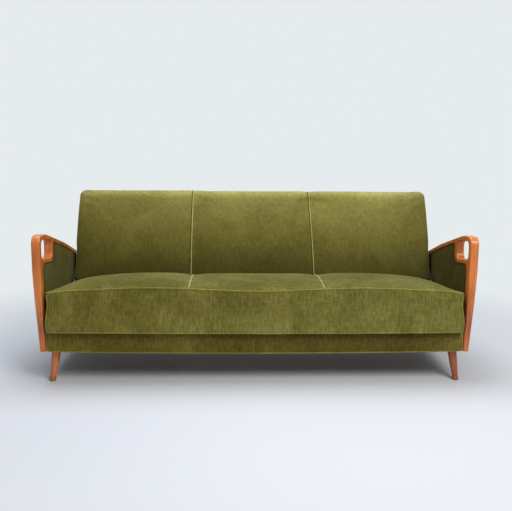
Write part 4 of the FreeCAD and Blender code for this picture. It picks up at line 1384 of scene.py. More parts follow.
    def unsettle(self, pad: bpy.types.Object) -> None:
        """Add the soft waves of use: 1.8 mm high on top, 2.2 mm deep and upright on the front.

        Args:
            pad: The stuffed pad.
        """
        spots = vertices_of(pad)
        upper = smooth_step((spots[:, 2] - self.low.z - 60 * MM) / (60 * MM))
        front = smooth_step((self.low.y + 30 * MM - spots[:, 1]) / (30 * MM))
        lift = ripple(spots, size=160 * MM, seed=3.1) * 1.8 * MM \
            + self.channels.puckers(spots, seed=4.2)
        spots[:, 2] += lift * upper
        upright = spots * np.array([1.0, 1.0, 0.6])
        spots[:, 1] += ripple(upright, size=110 * MM, seed=6.4) * 2.2 * MM * front
        move_vertices(pad, spots)

    def rim(self, level: Callable[[float, float], float], rise: float) -> list[Spot]:
        """Places round the front and both ends of the seat, each with its way outwards.

        Args:
            level: Height at a place along the sofa and across it.
            rise: How steeply the way outwards points up.

        Returns:
            Pairs of a place near the edge and a direction away from it.
        """
        core = self.edge * 1.5
        x_end, front, rear = self.half - core, self.low.y + core, self.high.y - 0.02
        plan = [(x_end, y, 0.0) for y in np.linspace(rear, front, 22)]
        plan += [(x_end, front, angle) for angle in np.linspace(15, 75, 5)]
        plan += [(x, front, 90.0) for x in np.linspace(x_end, 0, 44)]
        spots = []
        for x, y, angle in plan:
            way = (math.cos(math.radians(angle)), -math.sin(math.radians(angle)), rise)
            place = (x + core * way[0], y + core * way[1])
            spots.append(((*place, level(*place)), way))
        other = [((-x, y, z), (-a, b, c)) for (x, y, z), (a, b, c) in reversed(spots[:-1])]
        return spots + other

    def welts(self, pad: bpy.types.Object) -> None:
        """Sew piping, a little wavy, along the top edge and the hem, and up the front corners.

        Args:
            pad: The finished pad.
        """
        upper = self.rim(lambda x, y: float(self.top(np.array(x), np.array(y))), 1.0)
        top_line = line_over(pad, upper, 0.25 * self.piping)
        hem = self.low.z + 3 * MM
        lower = self.rim(lambda x, y: hem - float(self.hem(np.array(x), np.array(y))), 0.0)
        hem_line = line_over(pad, lower, 0.35 * self.piping)
        for name, points in (("seat_top_piping", top_line), ("seat_hem_piping", hem_line)):
            rows = np.array(points)
            rows[:, 2] += ripple(rows, size=60 * MM, seed=7.7) * 0.9 * MM
            sew_cord(name, rows, self.piping, "seat")
        corner = [((self.half, self.low.y, z), (1, -1, 0)) for z in
                  np.linspace(self.low.z + 4 * MM, self.front_height - 22 * MM, 18)]
        sew_cord_pair("seat_corner_piping", line_over(pad, corner, 0.3 * self.piping),
                      0.8 * self.piping, "seat")

    def seams(self, pad: bpy.types.Object) -> None:
        """Lay a cord in each channel and a stitched seam down the front.

        Args:
            pad: The finished pad.
        """
        for side, seam in zip(("left", "right"), self.channels.places):
            line = [((seam, y, self.front_height), (0, 0, 1)) for y in
                    np.linspace(self.low.y + 10 * MM, self.high.y - 20 * MM, 30)]
            sew_cord(f"seat_seam_{side}", line_over(pad, line, self.seam_lift),
                     1.05 * self.piping, "seat", SEAM_CORD_PAINTED_LIGHTER)
        line = [((self.front_seam, self.low.y, z), (0, -1, 0)) for z in
                np.linspace(self.low.z + 2 * MM, self.front_height - 10 * MM, 16)]
        sew_cord("seat_front_seam", line_over(pad, line, self.seam_lift), self.stitch, "seat")

    def build(self) -> None:
        """Build the whole upholstered seat."""
        pad = self.cushion()
        self.welts(pad)
        self.seams(pad)


# ---------------------------------------------------------------- back


@dataclass
class Back:
    """The leaning back: three sewn panels over a frame, with a rolled top.

    It is modelled upright, above the hinge line and with its front at 0, and then leaned back.
    It is deep at its foot and thin at its top, and wider from side_start up, a share of its
    height. Its front is crowned, most at its middle, and falls from there by a power of the
    way: all of the crown is gone at the foot, and top_drop of it at the top.
    The two seams aren't quite plumb: drift is how far each one's foot lies to the right of its
    middle, the left seam first.
    """

    hinge: Hinge
    half: float
    length: float = 520 * MM
    deep: float = 138 * MM
    thin: float = 75 * MM
    start: float = 3 * MM
    crown: float = 35 * MM
    middle: float = 0.47
    foot_fall: float = 2.1
    top_fall: float = 1.9
    top_drop: float = 0.80
    swell_run: float = 70 * MM
    side_run: float = 50 * MM
    side_swell: float = 4.5 * MM
    side_start: float = 0.30
    side_rise: float = 0.15
    roll_start: float = 0.9
    roll_dip: float = 0.35
    small_edge: Point = (9 * MM, 12 * MM, 8 * MM)
    large_edge: Point = (32 * MM, 42 * MM, 40 * MM)
    roll: float = 42 * MM
    piping: float = 3.0 * MM
    edge_inset: float = 16 * MM
    edge_turn: float = 12 * MM
    seam_shifts: tuple[float, float] = (-18 * MM, -5 * MM)
    seam_depth: float = 13 * MM
    seam_run: float = 150 * MM
    drift: tuple[float, float] = (-2 * MM, 10 * MM)
    fill: float = 0.8
    slices: tuple[int, int, int] = (150, 10, 44)

    def __post_init__(self) -> None:
        """Work out the seams' places."""
        left, right = self.seam_shifts
        self.channels = Channels((-self.half / 3 + left, self.half / 3 + right),
                                 depth=self.seam_depth)

    def straightened(self, x: np.ndarray, share: np.ndarray) -> np.ndarray:
        """Take out how the seams wander, so that a channel is straight.

        Args:
            x: Places along the sofa.
            share: Their shares of the back's height.

        Returns:
            The places along the sofa, shifted.
        """
        left = smooth_step((-x + 60 * MM) / (120 * MM))
        shift = (self.drift[0] * left + self.drift[1] * (1 - left)) * 2 * (0.5 - share)
        near = np.exp(-(self.channels.away(x) / self.seam_run) ** 2)
        return x - shift * near

    def seam_line(self, seam: float, share: float) -> float:
        """Place of a wandering seam along the sofa at a share of the back's height."""
        return seam + self.drift[0 if seam < 0 else 1] * 2 * (0.5 - share)

    def form(self, places: np.ndarray) -> np.ndarray:
        """Round the block's edges, taper it to the top and crown its front, still upright.

        Args:
            places: The block's corners, as rows.

        Returns:
            The moved corners.
        """
        low = np.array([-self.half, 0.0, self.start])
        high = np.array([self.half, self.deep, self.length])
        up = (places[:, 2:3] - low[2]) / (high[2] - low[2])
        # The edges grow rounder towards the top: the ends' late, the others' from halfway up.
        soft = np.hstack([smooth_step((up - 0.80) / 0.12)] + [smooth_step(up * 3 - 1.6)] * 2)
        small, large = np.array(self.small_edge), np.array(self.large_edge)
        x, deep, up = rounded_box(places, low, high, small + (large - small) * soft).T
        share = (up - low[2]) / (high[2] - low[2])
        thick = self.deep + (self.thin - self.deep) * share
        to_rear = deep / self.deep
        along = 1 - np.exp(-np.maximum(self.half - np.abs(x), 0) / self.swell_run)
        bulge = np.where(
            share < self.middle,
            1 - np.abs((self.middle - share) / self.middle) ** self.foot_fall,
            1 - self.top_drop * np.abs((share - self.middle) / (1 - self.middle)) ** self.top_fall)
        dip = self.channels.dip(self.straightened(x, share))
        front = -(self.crown * bulge * along - dip) * (1 - to_rear)
        # The foot keeps its straight edge: the crown starts within the lowest twelfth.
        front *= smooth_step((share + 0.02) * 12)
        deep = to_rear * thick + front
        # The channels run on over the rolled top, and are shallower there.
        rolled = smooth_step((share - self.roll_start) * 10)
        up = up - dip * self.roll_dip * rolled * (1 - to_rear * 0.3)
        side_near = smooth_step((np.abs(x) - self.half + self.side_run) / self.side_run)
        x = x + np.sign(x) * side_near * self.side_swell * smooth_step(
            (share - self.side_start) / self.side_rise)
        return np.column_stack([x, deep, up])

    def cushion(self) -> bpy.types.Object:
        """Model the pad upright, stuff it, gather its seams and lean it back.

        Returns:
            The finished pad.
        """
        pad = sliced_block("back_pad", (-self.half, 0, self.start),
                           (self.half, self.deep, self.length), self.slices)
        flat = vertices_of(pad)
        step = 2 * self.half / self.slices[0]
        held = (flat[:, 1] > self.deep - NEAR) | (flat[:, 2] < self.start + NEAR)
        on_side = np.abs(flat[:, 0]) > self.half - NEAR
        on_face = (flat[:, 1] < NEAR) | (flat[:, 2] > self.length - NEAR)
        share = (flat[:, 2] - self.start) / (self.length - self.start)
        held |= on_side & on_face
        held |= on_face & (self.channels.away(self.straightened(flat[:, 0], share)) < step / 2)
        reshape(pad, self.form)
        stuff(pad, held)
        subdivide_surface(pad)
        spots = vertices_of(pad)
        front = smooth_step((50 * MM - spots[:, 1]) / (20 * MM))
        unrolled = np.column_stack([self.straightened(
            spots[:, 0], spots[:, 2] / self.length), spots[:, 1], spots[:, 2]])
        lift = ripple(spots, size=180 * MM, seed=5.3) * 2.4 * MM \
            + self.channels.puckers(unrolled, seed=2.9)
        spots[:, 1] -= lift * front
        move_vertices(pad, self.hinge.lean(spots))
        finish_piece(pad, "back", "velvet", BACK_VELVET, ("back_cushion",))
        return pad

    def wrap(self, pad: bpy.types.Object, place: Callable[[float], float],
             lift: float, tilt: float = 0.0) -> list[Point]:
        """Lay a line up the pad's front, over its rolled top and down behind it.

        Args:
            pad: The finished pad.
            place: Place along the sofa at a share of the height.
            lift: How far above the surface the line lies.
            tilt: How far the way outwards turns to the side.

        Returns:
            The line's points.
        """
        tall = self.length - self.start
        spots = []
        for share in np.linspace(0.03, 0.90, 26):
            spots.append((place(share), 30 * MM, self.start + share * tall, 0.0))
        for turn in np.linspace(0, 100, 9):
            spots.append((place(1.0), self.roll, self.length - self.roll, turn))
        inner = np.array([spot[:3] for spot in spots])
        way = np.array([(tilt, -math.cos(math.radians(spot[3])), math.sin(math.radians(spot[3])))
                        for spot in spots])
        leaned = self.hinge.lean(inner)
        outer = self.hinge.lean(inner + way)
        return line_over(pad, list(zip(leaned, outer - leaned)), lift)

    def welts(self, pad: bpy.types.Object) -> None:
        """Lay a cord in each channel with a dark cord of painted shadow beside it, and piping
        along the side edges.

        Args:
            pad: The finished pad.
        """
        for side, seam in zip(("left", "right"), self.channels.places):
            # The second cord is painted shadow: a dark cord 4 mm left of the seam, where its
            # channel lies in shade.
            for name, shift, size, finish in (("seam", 1 * MM, 1.05, SEAM_CORD_PAINTED_LIGHTER),
                                              ("seam_shadow", -4 * MM, 0.75, SEAM_SHADOW_VELVET)):
                points = self.wrap(pad, lambda share, start=seam + shift:
                                   self.seam_line(start, share), 0.2 * MM)
                sew_cord(f"back_{name}_{side}", points, size * self.piping, "back", finish)
        edge = self.half - self.edge_inset
        points = self.wrap(pad, lambda share: edge - self.edge_turn * max(0.0, share - 0.9) / 0.1,
                           0.2 * self.piping, 1.0)
        sew_cord_pair("back_edge_piping", points, 0.8 * self.piping, "back")

    def build(self) -> None:
        """Build the upholstered back."""
        self.welts(self.cushion())


# ---------------------------------------------------------------- fascia


@dataclass
class Fascia:
    """The thin upholstered front of the bedding box, piped along its hem and ends.

    It is tight over its board: it bows out a little, and its hem hangs lowest in the middle.
    """

    low: Vector
    high: Vector
    sag: float = 9 * MM
    bow: float = 3 * MM
    edge: Point = (4 * MM, 4 * MM, 6 * MM)
    seam: float = -12 * MM
    piping: float = 3.0 * MM
    stitch: float = 1.3 * MM
    fill: float = 0.9
    slices: tuple[int, int, int] = (120, 2, 12)

    def hem(self, x: np.ndarray) -> np.ndarray:
        """How far the hem hangs at places along the sofa."""
        return self.sag * (1 - (x / self.high.x) ** 2)

    def form(self, places: np.ndarray) -> np.ndarray:
        """Round the edges, bow the front and let the hem hang.

        Args:
            places: The block's corners, as rows.

        Returns:
            The moved corners.
        """
        low, high = np.array(self.low), np.array(self.high)
        made = rounded_box(places, low, high, np.array(self.edge))
        x, y, z = made.T
        share = (z - low[2]) / (high[2] - low[2])
        front = (high[1] - y) / (high[1] - low[1])
        y = y - front * np.sin(math.pi * np.clip(share, 0, 1)) * self.bow
        y = y + front * ripple(made, size=140 * MM, seed=1.9) * 1.2 * MM
        z = z - self.hem(x) * (1 - share)
        return np.column_stack([x, y, z])

    def build(self) -> None:
        """Model the pad, its piping and its middle seam."""
        pad = sliced_block("fascia_velvet", self.low, self.high, self.slices)
        reshape(pad, self.form)
        subdivide_surface(pad)
        finish_piece(pad, "base", "velvet", FASCIA_VELVET, ("fascia_pad",))
        end, y = self.high.x - 1 * MM, self.low.y + 1.5 * MM
        across = np.linspace(-end, end, 60)
        side = np.linspace(self.high.z, self.low.z + 12 * MM, 6)
        plan = [(-end, z) for z in side]
        plan += [(x, self.low.z - drop + 2 * MM) for x, drop in zip(across, self.hem(across))]
        plan += [(end, z) for z in reversed(side)]
        sew_cord("fascia_piping", [(x, y, z) for x, z in plan], self.piping, "base")
        line = [((self.seam, self.low.y, z), (0, -1, 0)) for z in
                np.linspace(self.low.z - self.sag + 4 * MM, self.high.z - 4 * MM, 9)]
        sew_cord("fascia_seam", line_over(pad, line, 0.4 * MM), self.stitch, "base")


# ---------------------------------------------------------------- arms


@dataclass
class Arms:
    """The two wooden arms: a post that turns over into a hand-hole loop and runs on as a rail.

    Outlines and the heights beside them are in millimetres: from the seat's front line to the
    rear, height above the floor, and the radius of the corner. The wood is full thickness from
    lean_top up, and foot_in thinner at the foot. A pad rises from its nailed edge over a short
    run, and gimp, a narrow braid, hides the nails.
    """

    front: float
    inner: float
    outer: float
    lean_top: float = 536.0
    foot: float = 150.0
    foot_in: float = 13 * MM
    rounding: float = 5.5 * MM
    dark_rounding: float = 2.5 * MM
    joint: float = 229.0
    rise: float = 3.0 * MM
    run: float = 16 * MM
    gimp: float = 2.3 * MM
    gimp_inset: float = 1.2 * MM
    fill: float = 0.9
    pad_slices: tuple[int, int, int] = (1, 60, 44)
    frame_outline: tuple[Corner, ...] = (
        (30, 150, 3), (4, 430, 900), (4, 688, 70), (78, 688, 160), (120, 684, 160),
        (229, 657, 900), (450, 601, 500), (675, 531, 9), (675, 509, 9), (450, 579, 500),
        (229, 635, 4), (229, 541, 40), (60, 557, 16), (52, 519, 60), (52, 430, 200),
        (78, 243.6, 400), (78, 150, 3))
    hand_hole: tuple[Corner, ...] = ((36, 580.4, 27), (195, 566.1, 27), (199, 646.4, 27),
                                     (36, 669, 27))
    rear_outline: tuple[Corner, ...] = ((590, 243.6, 0), (655, 243.6, 0), (674, 510, 0),
                                        (590, 536, 0))
    base_outline: tuple[Corner, ...] = ((78, 150, 3), (655, 150, 3), (655, 243.6, 0),
                                        (78, 243.6, 0))
    panel_outline: tuple[Corner, ...] = (
        (79, 244.6, 2), (589, 244.6, 2), (589, 535, 2), (450, 578, 500), (230, 634, 3),
        (230, 541, 41), (61, 558, 15), (53, 519, 60), (53, 430, 200))

    def outline(self, corners: Sequence[Corner]) -> np.ndarray:
        """Return an outline in metres in the sofa's frame, as rows of Y and Z."""
        return rounded_outline(corners) * MM + np.array([self.front, 0.0])

    def lean(self, places: np.ndarray) -> np.ndarray:
        """Thin the wood towards the floor: its outer face leans in, its inner face is upright.

        Args:
            places: Corners of a piece of full thickness, as rows.

        Returns:
            The moved corners.
        """
        x, y, z = places.T
        low = np.clip((self.lean_top * MM - z) / ((self.lean_top - self.foot) * MM), 0, 1)
        full = self.outer - self.inner
        return np.column_stack([self.inner + (x - self.inner) * (1 - self.foot_in / full * low),
                                y, z])

    def sawn(self, name: str, outlines: Sequence[Sequence[Corner]],
             rounding: float) -> bpy.types.Object:
        """Saw one wooden piece and lean its outer face.

        Args:
            name: The piece's name.
            outlines: The outer outline, and then any holes.
            rounding: Radius of its long edges.

        Returns:
            The piece.
        """
        piece = board(name, [self.outline(corners) for corners in outlines], self.inner,
                      self.outer, rounding)
        cut_across(piece, (0, 0, self.lean_top * MM), (0, 0, 1))
        reshape(piece, self.lean)
        return piece

    def wood(self) -> None:
        """Make the post with its loop, the rail, the rear post and the base rail."""
        frame = self.sawn("arm_frame", (self.frame_outline, self.hand_hole), self.rounding)
        cut = (0, self.front + self.joint * MM, 0)
        rail = copy_of(frame, "arm_rail_wood_right")
        cut_across(frame, cut, (0, 1, 0), Keep.BEHIND)
        cut_across(rail, cut, (0, 1, 0), Keep.AHEAD)
        frame.name = frame.data.name = "arm_post_wood_right"
        rear = self.sawn("arm_rear_post_wood_right", (self.rear_outline,), self.dark_rounding)
        base = self.sawn("arm_base_rail_wood_right", (self.base_outline,), self.dark_rounding)
        for piece, node, slot, finish in ((frame, "arm_post", "beech", BEECH_UP),
                                          (rail, "arm_rail", "beech", BEECH_DEEP),
                                          (rear, "arm_rear_post", "beech_dark", DARK_BEECH),
                                          (base, "arm_base_rail", "beech_dark",
                                           DARK_BEECH_DEEP)):
            self.both_sides(piece, slot, finish, node, flat_faces=True)

    @staticmethod
    def both_sides(piece: bpy.types.Object, slot: str, finish: Finish, node: str,
                   flat_faces: bool = False) -> list[bpy.types.Object]:
        """Finish a piece of the right arm and its mirrored twin.

        Args:
            piece: The right arm's piece, whose name ends in "_right".
            slot: The record's material slot.
            finish: Its finish.
            node: The node that it stands for, without its side, or "" for none.
            flat_faces: Whether its large faces are flat.

        Returns:
            Both pieces.
        """
        twin = mirrored(piece, piece.name.replace("_right", "_left"))
        for side, one in (("right", piece), ("left", twin)):
            finish_piece(one, "base", slot, finish, (f"{node}_{side}",) if node else (),
                         HARD_CREASE, flat_faces)
        return [piece, twin]

    def pad(self, name: str, node: str, low_x: float, high_x: float, faces_in: bool) -> None:
        """Upholster one face of the arm's panel.

        Args:
            name: The piece's name, ending in "_right".
            node: The node that it stands for, without its side.
            low_x: Where its left face lies.
            high_x: Where its right face lies.
            faces_in: Whether it faces the seat.
        """
        outline = self.outline(self.panel_outline)
        (low_y, low_z), (high_y, high_z) = outline.min(axis=0), outline.max(axis=0)
        pad = sliced_block(name, (low_x, low_y - MM, low_z - MM),
                           (high_x, high_y + MM, high_z + MM), self.pad_slices)
        cutter = board("pad_cutter", [outline], low_x - 20 * MM, high_x + 20 * MM, 1 * MM)
        apply_modifier(pad, "BOOLEAN", operation="INTERSECT", object=cutter, solver="EXACT")
        discard(cutter)
        face_outwards(pad)
        spots = vertices_of(pad)
        shown = np.abs(spots[:, 0] - (low_x if faces_in else high_x)) < 1e-5
        away = distance_inside(spots[:, 1:], outline)
        swell = self.rise * (1 - np.exp(-away / self.run)) \
            + ripple(spots, size=100 * MM, seed=8.8) * 0.8 * MM * smooth_step(away / (40 * MM))
        spots[:, 0] += np.where(shown, -swell if faces_in else swell, 0)
        move_vertices(pad, spots if faces_in else self.lean(spots))
        for piece in self.both_sides(pad, "velvet", ARM_VELVET, node):
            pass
        middle = outline.mean(axis=0)
        step = (outline - middle) / np.linalg.norm(outline - middle, axis=1, keepdims=True)
        line = outline - step * self.gimp_inset
        x = low_x if faces_in else high_x
        points = np.column_stack([np.full(len(line), x), line])
        if not faces_in:
            points = self.lean(points)
        cord = cord_along(name.replace("pad", "gimp"), points, self.gimp, closed=True)
        self.both_sides(cord, "velvet", GIMP, "")

    def build(self) -> None:
        """Build both arms."""
        self.wood()
        inner_low, inner_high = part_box("arm_pad_inner_right")
        outer_low, outer_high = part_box("arm_pad_outer_right")
        self.pad("arm_inner_pad_right", "arm_pad_inner", inner_low.x, inner_high.x, True)
        self.pad("arm_outer_pad_right", "arm_pad_outer", outer_low.x, outer_high.x, False)


# ---------------------------------------------------------------- legs


@dataclass
class Legs:
    """Four turned legs that splay outwards, each in a short metal ferrule.

    A leg's top lies splay_x nearer the middle of the sofa than its foot, and splay_y nearer
    the middle of its depth.
    """

    foot_x: float
    foot_y: tuple[float, float]
    top: float
    ferrule_height: float
    foot_radius: float = 13 * MM
    top_radius: float = 21.5 * MM
    belly: float = 0.8 * MM
    splay_x: float = 19 * MM
    splay_y: float = 20 * MM
    wall: float = 1 * MM
    sides: int = 48
    slices: int = 10

    def splayed(self, turned: bpy.types.Object, inwards: float) -> None:
        """Lean a piece turned on the floor's upright axis, and set it on its place.

        Args:
            turned: The piece, upright over the origin.
            inwards: 1 for a front leg, whose top lies further back, or -1 for a rear leg.
        """
        foot = self.foot_y[0] if inwards > 0 else self.foot_y[1]

        def form(places: np.ndarray) -> np.ndarray:
            """Shift each place by its share of the leg's height."""
            share = places[:, 2] / self.top
            return places + np.column_stack([self.foot_x - self.splay_x * share,
                                             foot + inwards * self.splay_y * share,
                                             np.zeros(len(places))])
        reshape(turned, form)

    def turned_leg(self) -> bpy.types.Object:
        """Turn one leg: a long taper with a slight belly and eased rims.

        Returns:
            The leg, upright over the origin.
        """
        tall = self.top - self.ferrule_height
        leg = added("turned_leg", bpy.ops.mesh.primitive_cone_add, vertices=self.sides,
                    radius1=self.foot_radius, radius2=self.top_radius, depth=tall,
                    location=(0, 0, self.ferrule_height + tall / 2))
        bake_place(leg)
        cut_evenly(leg, 2, self.slices)

        def form(places: np.ndarray) -> np.ndarray:
            """Swell the taper by its belly, most at half its height."""
            share = (places[:, 2:] - self.ferrule_height) / tall
            flat = np.linalg.norm(places[:, :2], axis=1, keepdims=True)
            grow = 1 + self.belly * np.sin(math.pi * share) / np.maximum(flat, 1e-6)
            return np.column_stack([places[:, :2] * grow, places[:, 2]])
        reshape(leg, form)
        soften_edges(leg, 1.2 * MM)
        return leg

    def ferrule(self) -> bpy.types.Object:
        """Turn one ferrule: a drawn cup with a rolled rim and a rounded sole.

        Returns:
            The ferrule, upright over the origin.
        """
        cup = added("ferrule", bpy.ops.mesh.primitive_cylinder_add, vertices=self.sides,
                    radius=self.foot_radius + self.wall, depth=self.ferrule_height,
                    location=(0, 0, self.ferrule_height / 2))
        bake_place(cup)
        soften_edges(cup, 0.9 * MM)
        return cup

    def build(self) -> None:
        """Turn the legs and ferrules once, and stand them at the four corners."""
        leg, cup = self.turned_leg(), self.ferrule()
        cups = []
        for row, inwards in (("front", 1.0), ("rear", -1.0)):
            right = copy_of(leg, f"{row}_leg_right")
            self.splayed(right, inwards)
            pair = joined([right, mirrored(right, f"{row}_leg_left")], f"{row}_turned_legs")
            finish_piece(pair, "base", "beech", BEECH_LEG, (f"{row}_legs",), HARD_CREASE)
            cup_right = copy_of(cup, f"{row}_ferrule")
            self.splayed(cup_right, inwards)
            cups += [cup_right, mirrored(cup_right, f"{row}_ferrule_left")]
        discard(leg)
        discard(cup)
        finish_piece(joined(cups, "turned_ferrules"), "base", "ferrule", FERRULE,
                     ("leg_ferrules",), HARD_CREASE)


# ---------------------------------------------------------------- hinge screws


@dataclass
class HingeScrews:
    """Slotted pan-head screws that hold the hinge leaves and their brackets.

    Their places on the right are in millimetres: along the sofa, from the seat's front line to
    the rear, and above the floor. On the back's leaf they are given on the upright back.
    """

    hinge: Hinge
    front: float
    radius: float = 5 * MM
    height: float = 2.2 * MM
    slot: float = 1.1 * MM
    sides: int = 20
    seat_leaf: tuple[Point, ...] = ((953.3, 410, 277), (953.3, 455, 277), (953.3, 500, 277))
    back_leaf: tuple[Point, ...] = ((956.6, 65, 140), (956.6, 95, 140), (956.6, 97, 115))
    bracket: tuple[Point, ...] = ((961, 619, 280), (961, 619, 330), (961, 619, 385))

    def head(self) -> bpy.types.Object:
        """Model one screw head that faces +X, with its slot cut.

        Returns:
            The head, with its back at the origin.
        """
        head = added("screw_head", bpy.ops.mesh.primitive_cylinder_add, vertices=self.sides,
                     radius=self.radius, depth=self.height,
                     location=(self.height / 2, 0, 0), rotation=(0, math.pi / 2, 0))
        bake_place(head)
        soften_edges(head, 0.8 * MM, rounds=2)
        cutter = block("slot_cutter", (self.height * 0.55, -self.slot / 2, -self.radius),
                       (self.height * 2, self.slot / 2, self.radius))
        apply_modifier(head, "BOOLEAN", operation="DIFFERENCE", object=cutter, solver="EXACT")
        discard(cutter)
        return head

    def group(self, name: str, body: str, head: bpy.types.Object, places: np.ndarray,
              outwards: bool = True) -> None:
        """Set one screw at each place on the right, mirror them and join them.

        Args:
            name: The group's name.
            body: The body that it moves with.
            head: The screw head.
            places: Rows of places in metres.
            outwards: Whether the heads face the sofa's ends, or else its middle.
        """
        screws = []
        for n, place in enumerate(places):
            screw = copy_of(head, f"{name}_{n}")
            # Each slot stands as its screw happened to stop.
            spin = Matrix.Rotation(0.9 * n + 0.4, 4, "X")
            facing = Matrix.Rotation(0 if outwards else math.pi, 4, "Z")
            screw.data.transform(Matrix.Translation(Vector(place)) @ facing @ spin)
            screws += [screw, mirrored(screw, f"{name}_{n}_left")]
        finish_piece(joined(screws, name), body, "bright_steel", ZINC, crease=HARD_CREASE)

    def build(self) -> None:
        """Set all the screws."""
        head = self.head()
        shift = np.array([0, self.front, 0])
        self.group("seat_hinge_screws", "seat", head, np.array(self.seat_leaf) * MM + shift)
        self.group("back_hinge_screws", "back", head,
                   self.hinge.lean(np.array(self.back_leaf) * MM))
        self.group("bracket_screws", "base", head, np.array(self.bracket) * MM + shift,
                   outwards=False)
        discard(head)


# ---------------------------------------------------------------- the frame's own nodes

# Each finish goes to the nodes whose names start so. The longest start wins, and what has
# none here is bare spruce.
NODE_FINISHES: dict[str, Finish] = {
    "arm_bolts": ZINC, "leg_bolts": ZINC, "hinge_pins": ZINC,
    "arm_panel": PLYWOOD, "box_bottom_panel": HARDBOARD,
    "box_bearers": SPRUCE_DEEP, "box_side": SPRUCE_DEEP, "seat_side_rail": SPRUCE_DEEP,
    "seat_cross_rails": SPRUCE_DEEP, "back_side_rail": SPRUCE_UP, "back_cross_rails": SPRUCE_UP,
    "seat_webbing": JUTE, "back_webbing": JUTE, "seat_spring_core": HESSIAN,
    "back_rear_cloth": BACK_VELVET,
    "leg_plates": ENAMEL, "hinge_bracket": ENAMEL, "ratchet_housings": ENAMEL,
    "seat_hinge_plate": ENAMEL, "back_hinge_plate": ENAMEL,
    "rest_buffers": RUBBER,
}


def dress_nodes(nodes: dict[str, bpy.types.Object]) -> None:
    """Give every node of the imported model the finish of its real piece.

    Args:
        nodes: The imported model's objects by name.
    """
    for name, node in nodes.items():
        keys = [key for key in NODE_FINISHES if name.startswith(key)]
        finish = NODE_FINISHES[max(keys, key=len)] if keys else SPRUCE
        node.data.materials.clear()
        node.data.materials.append(finish.material())


# ---------------------------------------------------------------- studio


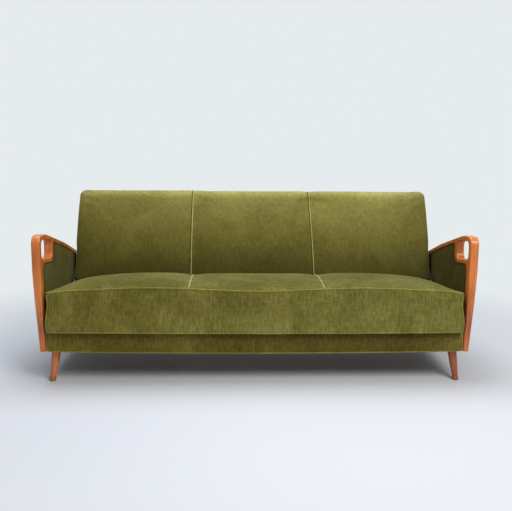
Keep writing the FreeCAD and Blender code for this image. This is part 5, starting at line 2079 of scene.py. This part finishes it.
@dataclass
class Studio:
    """A plain pale floor that melts into the background, soft light and the camera.

    The floor turns into the background from fade_start to fade_end, in metres from the middle.
    Each lamp has its name, place, width in metres, power in watts and colour.
    """

    floor_colour: str = "d3d7df"
    floor_radius: float = 40.0
    floor_roughness: float = 0.7
    sky_colour: str = "e6ebee"
    world_colour: str = "f2f4f8"
    world_strength: float = 0.16
    fade_start: float = 1.0
    fade_end: float = 2.7
    sensor: float = 36.0
    lens: float = 46.29
    pitch: float = math.radians(8.606)
    yaw: float = math.radians(1.539)
    roll: float = math.radians(0.365)
    eye: Point = (-0.0825, -3.3161, 1.0458)
    aim: Point = (0.0, 0.0, 0.45)
    lamps: tuple[tuple[str, Point, float, float, str], ...] = (
        ("window_light", (1.5, -2.9, 3.2), 2.0, 128.0, "fffaf3"),
        ("ceiling_light", (-0.3, 0.2, 3.3), 2.6, 92.0, "f6f9ff"))

    def camera(self) -> None:
        """Stand the camera a little left of the middle, looking slightly down."""
        look = Vector((math.sin(self.yaw) * math.cos(self.pitch),
                       math.cos(self.yaw) * math.cos(self.pitch), -math.sin(self.pitch)))
        right = look.cross(Vector((0, 0, 1))).normalized()
        up = right.cross(look)
        turned = right * math.cos(self.roll) + up * math.sin(self.roll)
        up = up * math.cos(self.roll) - right * math.sin(self.roll)
        matrix = Matrix((turned, up, -look)).transposed().to_4x4()
        matrix.translation = Vector(self.eye)
        camera = added("studio_camera", bpy.ops.object.camera_add)
        camera.matrix_world = matrix
        camera.data.lens = self.lens
        camera.data.sensor_width = self.sensor
        bpy.context.scene.camera = camera

    def floor(self) -> None:
        """Lay a wide pale floor, which the eye sees melt into the background far out."""
        floor = added("studio_floor", bpy.ops.mesh.primitive_circle_add, vertices=64,
                      radius=self.floor_radius, fill_type="NGON")
        material = bpy.data.materials.new("studio_floor_paint")
        material.use_nodes = True
        tree = material.node_tree
        surface = tree.nodes["Principled BSDF"]
        surface.inputs["Base Color"].default_value = linear(self.floor_colour)
        surface.inputs["Roughness"].default_value = self.floor_roughness
        place = add_node(tree, "ShaderNodeTexCoord").outputs["Object"]
        far = add_node(tree, "ShaderNodeVectorMath", {"operation": "LENGTH"}, i0=place)
        share = add_node(tree, "ShaderNodeMapRange", {"interpolation_type": "SMOOTHSTEP"},
                         Value=far.outputs["Value"], From_Min=self.fade_start,
                         From_Max=self.fade_end)
        path = add_node(tree, "ShaderNodeLightPath")
        seen = add_node(tree, "ShaderNodeMath", {"operation": "MAXIMUM"},
                        i0=path.outputs["Is Camera Ray"], i1=path.outputs["Is Glossy Ray"])
        shown = add_node(tree, "ShaderNodeMath", {"operation": "MULTIPLY"},
                         i0=share.outputs[0], i1=seen.outputs[0])
        sky = add_node(tree, "ShaderNodeEmission", Color=linear(self.sky_colour), Strength=1.0)
        mix = add_node(tree, "ShaderNodeMixShader", i0=shown.outputs[0],
                       i1=surface.outputs[0], i2=sky.outputs[0])
        tree.links.new(mix.outputs[0], tree.nodes["Material Output"].inputs["Surface"])
        floor.data.materials.append(material)

    def world(self) -> None:
        """Light from all round, and the pale background that camera and gloss see."""
        world = bpy.data.worlds.new("studio_world")
        bpy.context.scene.world = world
        world.use_nodes = True
        tree = world.node_tree
        ground = tree.nodes["Background"]
        ground.inputs["Color"].default_value = linear(self.world_colour)
        ground.inputs["Strength"].default_value = self.world_strength
        shown = add_node(tree, "ShaderNodeBackground", Color=linear(self.sky_colour),
                         Strength=1.0)
        path = add_node(tree, "ShaderNodeLightPath")
        clear = add_node(tree, "ShaderNodeMath", {"operation": "MAXIMUM"},
                         i0=path.outputs["Is Glossy Ray"], i1=path.outputs["Is Transmission Ray"])
        seen = add_node(tree, "ShaderNodeMath", {"operation": "MAXIMUM"},
                        i0=path.outputs["Is Camera Ray"], i1=clear.outputs[0])
        mix = add_node(tree, "ShaderNodeMixShader", i0=seen.outputs[0],
                       i1=ground.outputs[0], i2=shown.outputs[0])
        tree.links.new(mix.outputs[0], tree.nodes["World Output"].inputs["Surface"])

    def lamp(self, name: str, place: Sequence[float], size: float, power: float,
             colour: str) -> None:
        """Hang one soft square lamp that points at the sofa.

        Args:
            name: The lamp's name.
            place: Where it hangs.
            size: Its width in metres.
            power: Its power in watts.
            colour: Its colour, as six hex digits.
        """
        lamp = added(name, bpy.ops.object.light_add, type="AREA", location=place)
        lamp.data.size = size
        lamp.data.energy = power
        lamp.data.color = linear(colour)[:3]
        beam = Vector(self.aim) - Vector(place)
        lamp.rotation_euler = beam.to_track_quat("-Z", "Y").to_euler()

    def build(self) -> None:
        """Set up camera, floor, world and lamps."""
        self.camera()
        self.floor()
        self.world()
        for lamp in self.lamps:
            self.lamp(*lamp)
        bpy.context.scene.view_settings.view_transform = "Standard"


def main() -> None:
    """Load the frame, dress it and build every piece."""
    logging.basicConfig(level=logging.INFO, format="%(message)s")
    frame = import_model()
    bpy.ops.object.select_all(action="DESELECT")
    dress_nodes(frame["nodes"])
    pivot = frame["joints"][0]["pos_m"]
    hinge = Hinge(pivot[1], pivot[2])
    seat_low, seat_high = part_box("seat_cushion")
    Seat(seat_low, seat_high).build()
    Back(hinge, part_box("back_cushion")[1].x).build()
    Fascia(*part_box("fascia_pad")).build()
    post_low, post_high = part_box("arm_post_right")
    Arms(seat_low.y, post_low.x, post_high.x).build()
    cup_low, cup_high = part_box("leg_ferrules")
    cup = Legs.foot_radius + Legs.wall
    Legs(cup_high.x - cup, (cup_low.y + cup, cup_high.y - cup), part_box("front_legs")[1].z,
         cup_high.z).build()
    HingeScrews(hinge, seat_low.y).build()
    Studio().build()


if __name__ == "__main__":
    main()
